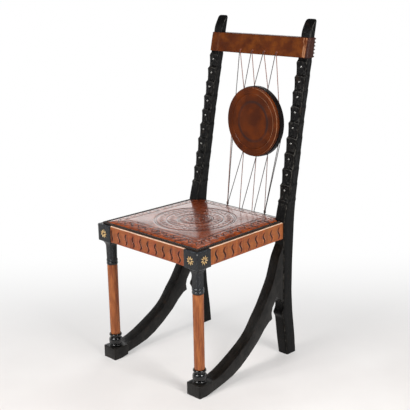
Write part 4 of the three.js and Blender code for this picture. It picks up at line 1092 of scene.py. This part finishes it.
def border_tooling(x, y, to_side, to_end):
    """A vine with buds and leaves between two pairs of lines, along all four edges"""
    edge = np.minimum(to_side, to_end)
    along = np.where(to_side < to_end, y, x)
    wave = np.sin(along * 2 * pi / VINE_PITCH)
    in_cell = np.mod(along, VINE_PITCH / 2) - VINE_PITCH / 4
    bud = np.hypot(in_cell, edge - VINE_AT + 3.0 * np.sign(wave))
    leaf = np.hypot(in_cell * 0.7 - 2.5, edge - VINE_AT - 7.5 * np.sign(wave))
    lines = [0.8 * tooled_line(edge, at, 1.3) for at in (9, 40, 45)]
    lines += [tooled_line(edge - VINE_SWAY * wave, VINE_AT, 1.9), tooled_line(bud, 0, 2.6),
              0.9 * tooled_line(leaf, 2.5, 1.3)]
    return np.max(lines, axis=0) * (edge < BORDER)


# %% Seat pad
PAD_FRONT, PAD_TURN, PAD_BACK, PAD_FLOOR, PAD_CROWN = 21.5, 392.7, 418.0, 460.35, 11.9
TONGUE_HALF, TONGUE_TURN, PAD_INSET = 174.5, 5.0, 17.5
ROLL_RISE, ROLL_REACH, SLOPE_RISE, SLOPE_REACH = 4.9, 9.0, 5.7, 50.0
PAD_STEP, NOMINAL_HALF = 1.45, 200.0
DOME_MIDDLE, DOME_HALF, DOME_BEND, DOME_SHORT = 219.7, 198.3, 2.6, 0.6


def pad_half(y):
    side = rail_face(y) - PAD_INSET
    share = np.clip((y - PAD_TURN + TONGUE_TURN) / TONGUE_TURN, 0, 1)
    return side + (TONGUE_HALF - side) * share ** 3


def spaced(length, step, roll=(0, 0.25, 0.8, 1.6, 2.6, 4.0, 5.8, 8.0)):
    """Places over a length, close together at both ends"""
    inner = np.linspace(roll[-1], length - roll[-1], int((length - 2 * roll[-1]) / step))
    return np.concatenate([roll[:-1], inner, length - np.array(roll[:-1])[::-1]])


def grid_faces(rows, columns):
    """Quads over a grid of points, and one face over its whole rim"""
    faces = [(i * columns + j, i * columns + j + 1, (i + 1) * columns + j + 1, (i + 1) * columns + j)
             for i in range(rows - 1) for j in range(columns - 1)]
    rim = ([(0, j) for j in range(columns)] + [(i, columns - 1) for i in range(1, rows)]
           + [(rows - 1, j) for j in range(columns - 2, -1, -1)]
           + [(i, 0) for i in range(rows - 2, 0, -1)])
    return faces + [tuple(i * columns + j for i, j in rim)]


depths = PAD_FRONT + spaced(PAD_BACK - PAD_FRONT, PAD_STEP)
shares = spaced(2 * NOMINAL_HALF, PAD_STEP) / NOMINAL_HALF - 1
y, share = np.meshgrid(depths, shares, indexing="ij")
half = pad_half(y)
x = share * half
to_side = half - np.abs(x)
to_end = np.minimum(y - PAD_FRONT, PAD_BACK - y)
edge = np.minimum(to_side, to_end)
soft_edge = 1 / (1 / (to_side + 0.001) ** 2 + 1 / (to_end + 0.001) ** 2) ** 0.5
roll = ROLL_RISE * np.sqrt(1 - (1 - np.clip(soft_edge, 0, ROLL_REACH) / ROLL_REACH) ** 2)
slope = SLOPE_RISE * np.sin(pi / 2 * np.clip(soft_edge / SLOPE_REACH, 0, 1))
dome = (1 - np.abs(share) ** DOME_BEND) * (1 - np.abs((y - DOME_MIDDLE) / DOME_HALF) ** DOME_BEND)
dimple = 0.25 * np.sin(x / 23 + 1.3) * np.sin(y / 31 + 0.4) * np.clip(edge / 30, 0, 1)
z = PAD_FLOOR + roll + slope + (PAD_CROWN - ROLL_RISE - SLOPE_RISE - DOME_SHORT) * dome + dimple
tooling = np.maximum(0.75 * centre_tooling(x, y) * (edge > BORDER), border_tooling(x, y, to_side, to_end))
tooling = tooling * np.clip((edge - 4) / 6, 0, 1)
z = z - TOOL_DEPTH * tooling
marks = {"tooling": tooling, "from_edge": edge * MM, "from_back": (PAD_BACK - y) * MM}
points = np.stack([x, y, z], 2).reshape(-1, 3)
pad = new_object("fine_seat_pad", points, grid_faces(*x.shape), seat_hide, marks, 60)
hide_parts("seat_pad")
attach(pad, "frame")
print("seat pad", len(pad.data.polygons), "faces")

# %% Nailing band
done(softened("seat_band", band_hide, 0.8, 2), "black_leather", "seat_band")
NAIL_PITCH, NAIL_HEIGHT, NAIL_RADIUS, NAIL_RISE = 7.6, 462.7, 3.9, 3.6
BAND_INSET, BAND_FRONT, BAND_BACK = 11.6, 15.7, 388.3


def band_line():
    """Places along the middle of the band, down one side, along the front and up the other"""
    corner = [(side * (rail_face(y) - BAND_INSET), y) for side, y in
              ((-1, BAND_BACK), (-1, BAND_FRONT), (1, BAND_FRONT), (1, BAND_BACK))]
    nails = []
    for (x0, y0), (x1, y1) in zip(corner, corner[1:]):
        count = round(hypot(x1 - x0, y1 - y0) / NAIL_PITCH)
        nails += [(x0 + (x1 - x0) * i / count, y0 + (y1 - y0) * i / count, NAIL_HEIGHT)
                  for i in range(count)]
    return nails + [(*corner[-1], NAIL_HEIGHT)]


spots = band_line()
nails = domes("fine_nails", spots, [(0, 0, 1)] * len(spots), NAIL_RADIUS, NAIL_RISE, nail_bronze)
done(nails, "black_leather", "seat_band")
print(len(spots), "nails")

# %% [markdown]
# ## Crest
#
# The crest is leather wrapped round a board and both posts, laced together with a thong at the
# outer back corners. Where it bends over the posts it has creased, and the creases carry painted
# highlights. Its sides and back, its front next to the right end and its rolled rims carry painted
# shade. The lacing of the disc passes through four eyelets near its lower edge.

# %% Crest leather
CREST_FOOT, CREST_TOP, CREST_BY, CREST_ROUND = 965.0, 1027.0, 3.1, 5.5
CREST_MIDDLE = (CREST_FOOT + CREST_TOP) / 2
HEM_AT, HEM_WIDTH, RIM_SINK, RIM_REACH = 5.0, 1.3, 2.2, 3.0


def crest_ring(h, sink):
    half = post_outer(h) + CREST_BY - sink
    front, back = ground_front(h) - CREST_BY + sink, smooth_table(post_rear, h, 12) + CREST_BY - sink
    return rounded_ring(-half, half, front, back, [CREST_ROUND] * 4, 8, (5, 200, 5, 200))


def crease(x, h, middle, lean, width=2.2):
    away = x - (middle + lean * (h - CREST_MIDDLE))
    return (np.exp(-((away + width * 0.9) / width) ** 2) - 0.9 * np.exp(-(away / (width * 0.45)) ** 2)
            + 0.8 * np.exp(-((away - width * 0.9) / width) ** 2))


rim_steps = np.array([0, 0.3, 0.9, 1.8, 3.0, 4.6])
heights = np.concatenate([CREST_FOOT + rim_steps, np.linspace(CREST_FOOT + 6, CREST_TOP - 6, 22),
                          CREST_TOP - rim_steps[::-1]])
rings, edges, stains_and_shade = [], [], []
for h in heights:
    to_edge = min(h - CREST_FOOT, CREST_TOP - h)
    sink = RIM_SINK * (1 - sqrt(1 - (1 - min(to_edge, RIM_REACH) / RIM_REACH) ** 2))
    ring, corner = crest_ring(h, sink)
    x, y = ring.T
    on_front = y < ground_front(h) + 2
    right_pair = crease(x, h, 189.6, -0.05, 1.2) + crease(x, h, 197.0, 0.02, 1.2)
    left_crease = crease(x, h, -176.0, 0.02)
    fold = 0.9 * right_pair + 0.45 * left_crease
    ripple = 0.35 * np.sin(x / 17 + h / 29) * np.sin(h / 11 + x / 90) + 0.18 * np.sin(x / 5.3 + h / 7)
    hem = 0.5 * exp(-((to_edge - HEM_AT) / HEM_WIDTH) ** 2)
    y = y + np.where(on_front, hem + 0.35 - fold * 0.75 - ripple * 0.5, 0) * min(1, to_edge / RIM_REACH)
    rings.append(np.stack([x, y, np.full(len(x), h)], 1))
    # Painted highlights on the crease ridges, and faintly on the rounded corners
    crease_highlight = np.clip(right_pair + 0.35 * left_crease, 0, 1) * on_front
    edges.append(np.maximum(corner * 0.15, crease_highlight) * min(1, to_edge / RIM_REACH))
    # Painted shade on the sides and back, on the front next to the right end, and on the rolled rims
    wrapped = np.maximum(0.8 * (~on_front), np.clip((x - 199) / 3, 0, 1))
    stains_and_shade.append(np.maximum(wrapped, 0.9 * exp(-(to_edge / 1.6) ** 2)))
crest = skin("fine_crest_leather", rings, crest_hide, {"edge": edges, "stain_and_shade": stains_and_shade}, 60)
done(crest, "leather", "crest_leather")
print("crest", len(crest.data.polygons), "faces")

# %% Thong at the back corners
THONG_TURNS, THONG_RADIUS, THONG_RISE = 6, 3.1, 2.4
bend = CREST_BY - 5 * (1 - sqrt(0.5))
for title, side in SIDES:
    lumps = [(side * (post_outer(h) + bend), post_rear(h) + bend, h)
             for h in np.linspace(CREST_FOOT + 4, CREST_TOP - 4, THONG_TURNS)]
    facings = [(side * 0.5, 0.5, 1)] * len(lumps)
    thong = domes("fine_lace_" + title, lumps, facings, THONG_RADIUS, THONG_RISE, dark_thong, 60)
    done(thong, "leather", "crest_lace_" + title)

# %% Eyelets
CREST_HOLE_HEIGHT = CREST_FOOT + 11


def four_holes(middle, pitch):
    return [middle + pitch * (i - 1.5) for i in range(4)]


crest_holes = four_holes(7, 52)
face_at = ground_front(CREST_HOLE_HEIGHT) - CREST_BY
facings = [(0, -1, (ground_front(1000) - ground_front(980)) / 20)] * 4
ring_spots, pit_spots = ([(x, face_at + sunk, CREST_HOLE_HEIGHT) for x in crest_holes]
                         for sunk in (-0.1, 0.3))
# The dark domes in the holes are painted shadow
for eyelet in (loops("fine_eyelets", ring_spots, facings, 3.0, 0.75, waxed_cord, 38),
               domes("fine_eyelet_shadows", pit_spots, facings, 2.9, 0.5, eyelet_shadow)):
    done(eyelet, "leather", "crest_leather")
print("crest details made")

# %% [markdown]
# ## Disc
#
# The disc is a turned wooden plate with a leather-covered front. Its face has a raised rim, a broad
# flat ring, a bead, and a sunken ring round a low dome. It hangs on the lacing, turned and tilted a
# little, so all its parts are drawn round its own axis.

# %% Places on the disc
DISC_TURN, DISC_SLOPE, DISC_RADIUS, DISC_SHELL = radians(2.2), 0.03, 114.6, 9.0
PLATE_RADIUS, PLATE_THICKNESS, CORD_DEPTH = 116.5, 21.0, 25.8
CORD_RADIUS, FIT, RAIL_BACK = 1.15, 0.3, 434.0
DISC_ASIDE, DISC_FORWARD, DISC_UP = 8.0, 0.95, 0.57
disc_normal = np.array([sin(DISC_TURN), cos(DISC_TURN), -DISC_SLOPE])
disc_normal = disc_normal / np.linalg.norm(disc_normal)
disc_right = np.array([cos(DISC_TURN), -sin(DISC_TURN), 0.0])
disc_up = np.cross(disc_right, disc_normal)
cord_front = ground_front(CREST_FOOT) - CREST_BY - CORD_RADIUS - FIT
cord_back = RAIL_BACK + CORD_RADIUS + FIT
disc_middle = np.array([DISC_ASIDE, cord_back + DISC_FORWARD * (cord_front - cord_back) - CORD_DEPTH,
                        SEAT_HEIGHT + DISC_UP * (CREST_FOOT - SEAT_HEIGHT)])


def on_disc(radius, degrees, behind):
    a = radians(degrees)
    return disc_middle + behind * disc_normal + radius * (cos(a) * disc_up + sin(a) * disc_right)


def lit_side_share(turn):
    """Painted rim highlights are brightest on the side that faces the lamps"""
    return 0.2 + 0.8 * np.clip(np.sin(turn + 0.3), 0, 1) ** 1.5


def disc_skin(name, outline, look, edge, stain_and_shade, around=144):
    """A piece turned round the disc's own axis, from points of radius and depth"""
    radius, behind = np.array(outline, float).T[:, :, None, None]
    a = np.linspace(0, 2 * pi, around, endpoint=False)
    spokes = np.cos(a)[:, None] * disc_up + np.sin(a)[:, None] * disc_right
    rings = disc_middle + behind * disc_normal + radius * spokes[None]
    marks = {"edge": np.array(edge)[:, None] * lit_side_share(a),
             "stain_and_shade": np.array(stain_and_shade)[:, None] * np.ones(around)}
    return skin(name, rings, look, marks, 32)


def fine_profile(table, step):
    """A table of radius and depth, smoothed into a close row of points"""
    table = np.asarray(table, float)
    run = np.concatenate([[0], np.cumsum(np.hypot(*np.diff(table, axis=0).T))])
    spots = np.linspace(0, run[-1], int(run[-1] / step))
    close = np.stack([np.interp(spots, run, table[:, 0]), np.interp(spots, run, table[:, 1])], 1)
    inner = (close[:-2] + 2 * close[1:-1] + close[2:]) / 4
    return np.concatenate([close[:1], inner, close[-1:]])


# %% Leather face of the disc
face_shares = [(0.01, 1.9), (0.3, 2.1), (0.5, 2.8), (0.56, 3.6), (0.6, 2.9), (0.64, 1.9), (0.7, 1.7),
               (0.765, 1.8), (0.785, 2.9), (0.8, 2.4), (0.815, 0.9), (0.85, 0.35), (0.9, 0.2), (0.935, 0.3),
               (0.95, 1.0), (0.96, 0.9), (0.972, 0.1), (0.985, 0.4)]
profile = fine_profile([(share * DISC_RADIUS, depth) for share, depth in face_shares], 0.8)
side_steps = [(DISC_RADIUS - 1.5 * (1 - sin(t)), 0.5 + 3.4 * (1 - cos(t)))
              for t in np.linspace(0.3, pi / 2, 7)]
profile = np.concatenate([profile, side_steps, [(DISC_RADIUS, 6.0), (DISC_RADIUS, DISC_SHELL - 0.4),
                                                (DISC_RADIUS - 0.5, DISC_SHELL), (60, DISC_SHELL)]])
share, on_face = profile[:, 0] / DISC_RADIUS, profile[:, 1] < 5
# The sunken ring is stained darker
sunken, rim_line, bead_line = (np.exp(-((share - at) / width) ** 2) * on_face
                               for at, width in ((0.565, 0.05), (0.965, 0.014), (0.8, 0.012)))
# Painted highlights on the rim and the bead lines
bright = np.clip(rim_line + 0.8 * bead_line, 0, 1)
leather = disc_skin("fine_disc_leather", profile, disc_hide, bright, sunken)
done(leather, "leather", "disc_leather", body="disc")

# %% Plate of the disc
plate_front = DISC_SHELL + FIT
plate_back = plate_front + PLATE_THICKNESS
outline = ([(40, plate_front), (PLATE_RADIUS - 1.2, plate_front), (PLATE_RADIUS - 0.4, plate_front + 0.5),
            (PLATE_RADIUS, plate_front + 1.4)]
           + [(PLATE_RADIUS, d) for d in np.linspace(plate_front + 3, plate_back - 4, 5)]
           + [(PLATE_RADIUS - 2.6 * (1 - cos(t)), plate_back - 2.6 + 2.6 * sin(t))
              for t in np.linspace(0, pi / 2, 6)] + [(60, plate_back), (1, plate_back)])
# Painted highlights on the plate's rim edges
plate_edge = [1.0 if r > PLATE_RADIUS - 1.5 and (d < plate_front + 1 or d > plate_back - 2) else 0.0
              for r, d in outline]
plate = disc_skin("fine_disc_plate", outline, plate_black, plate_edge, [0.0] * len(outline))
done(plate, "black_wood", "disc_plate", body="disc")
print("disc made")

# %% [markdown]
# ## Lacing
#
# The disc hangs between the crest and the rear rail on waxed two-ply cord. Five holes in the upper
# rim and seven in the lower take one or two strands each. The outer two groups of the lower lacing
# are whipped together just above the seat. A strand stays with the frame at one end and goes with
# the disc at the other, so each is an object of its own that follows both.

# %% Strand helpers
STRAND_SPREAD, WAIST_HEIGHT = 2.1, 463.0
WHIPPING_LIFTS, WHIPPING_RADIUS, WHIPPING_THICKNESS = (-3.4, -1.7, 0, 1.7, 3.4), 2.8, 1.1
MOUTH_GAP, BEND_REACH = 1.6, 3.0
CORD = {"Strand": 0.9, "Apart": 0.66, "Pitch": 6.5, "Step": 1.0}


def rim_mouth(angle):
    return on_disc(PLATE_RADIUS + MOUTH_GAP, angle, CORD_DEPTH)


def follow_both(obj, cad_name, low, high):
    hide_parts(cad_name)
    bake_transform(obj, "frame", "disc", tuple(placed(low)), tuple(placed(high)))


def strand(name, cad_name, anchor, bend, mouth, look, waist=None):
    """A taut strand from its hole, over a soft bend and through its waist, if it has one, to the rim"""
    stops = [np.asarray(p, float) for p in (anchor, bend, waist, mouth) if p is not None]
    anchor, bend, onto = stops[:3]
    onward = (onto - bend) / np.linalg.norm(onto - bend)
    inward = (anchor - bend) / np.linalg.norm(anchor - bend)
    run = [anchor] + [bend + BEND_REACH * (inward * (1 - t) ** 2 + onward * t ** 2)
                      for t in np.linspace(0, 1, 7)]
    for low, high in zip(stops[1:-1], stops[2:]):
        run += [low + (high - low) * t for t in (0.25, 0.5, 0.75, 1)]
    links = [(i, i + 1) for i in range(len(run) - 1)]
    cord = grown(name, cord_tree, run, {**CORD, "Look": look}, edges=links, angle=80)
    follow_both(cord, cad_name, stops[1], stops[-1])
    return float(sum(np.linalg.norm(b - a) for a, b in zip(stops, stops[1:])))


# %% Groups of strands


def lace(title, holes, height, inside, outside, counts, angles, looks, waists):
    """Strands from hole after hole to the rim, where each hole's last meets the next one's first"""
    length, first = 0.0, 0
    for number, (x, count) in enumerate(zip(holes, counts)):
        middle = rim_mouth(angles[first + 1])
        up = (WAIST_HEIGHT - height) / (middle[2] - height)
        waist_x, waist_y = waists.get(number), outside + up * (middle[1] - outside)
        for step in range(count):
            shift = STRAND_SPREAD * (step - (count - 1) / 2)
            waist = (waist_x + 0.5 * shift, waist_y, WAIST_HEIGHT) if waist_x else None
            # Each strand takes the lit cord or its painted-shade copy, by its place in the group
            length += strand(
                f"{title}_strand_{number + 1}_{step + 1}", title + "_cord", (x, inside, height),
                (x + shift, outside, height), rim_mouth(angles[first + step]), looks[step > 0], waist)
        if waist_x:
            turns = [(waist_x, waist_y, WAIST_HEIGHT + lift) for lift in WHIPPING_LIFTS]
            whipping = loops(f"fine_whipping_{number + 1}", turns, [(0, 0, 1)] * len(turns),
                             WHIPPING_RADIUS, WHIPPING_THICKNESS, dark_cord)
            follow_both(whipping, title + "_cord", (x, outside, height), middle)
        first += count - 1
    return length


# %% Upper and lower lacing
UPPER_ANGLES, LOWER_ANGLES = [-62, -33, -8, 22, 52], [264, 252, 211, 181, 155, 126, 117]
upper_length = lace("upper", crest_holes, CREST_HOLE_HEIGHT, face_at + 5, cord_front, [2, 2, 2, 2],
                    UPPER_ANGLES, (shaded_cord, waxed_cord), {})
lower_length = lace("lower", four_holes(13.5, 55.5), SEAT_HEIGHT - 38, RAIL_BACK - 7, cord_back,
                    [3, 2, 2, 3], LOWER_ANGLES, (waxed_cord, shaded_cord), {0: -76.0, 3: 92.0})
print("upper lacing", round(upper_length), "mm, lower lacing", round(lower_length), "mm")

# %% Loops at the rim
rim_angles = UPPER_ANGLES + LOWER_ANGLES
outward = [tuple(on_disc(1, a, 0) - disc_middle) for a in rim_angles]
rim_spots = [on_disc(PLATE_RADIUS + 0.9, a, CORD_DEPTH) for a in rim_angles]
knots = loops("fine_rim_loops", rim_spots, outward, 1.5, 0.8, dark_cord)
done(knots, "cord", "upper_cord", "lower_cord", body="disc")
print("lacing made")

# %% [markdown]
# ## Boards that are mostly hidden
#
# The rear rail, the ledgers under the seat, the seat board and the crest's board keep their CAD
# shape. They need a finish only, because they show from below and behind.

# %% Finish of the boards
for title in ("rear_rail", "seat_ledger_left", "seat_ledger_right", "seat_board", "crest_board"):
    wear_look(nodes[title], plain_black if title == "rear_rail" else raw_wood)
print("boards finished")

# %% [markdown]
# ## Final update
#
# The view layer is updated once more at the end. The visible chair has to keep the size
# of the CAD model.

# %% Final update
bpy.context.view_layer.update()
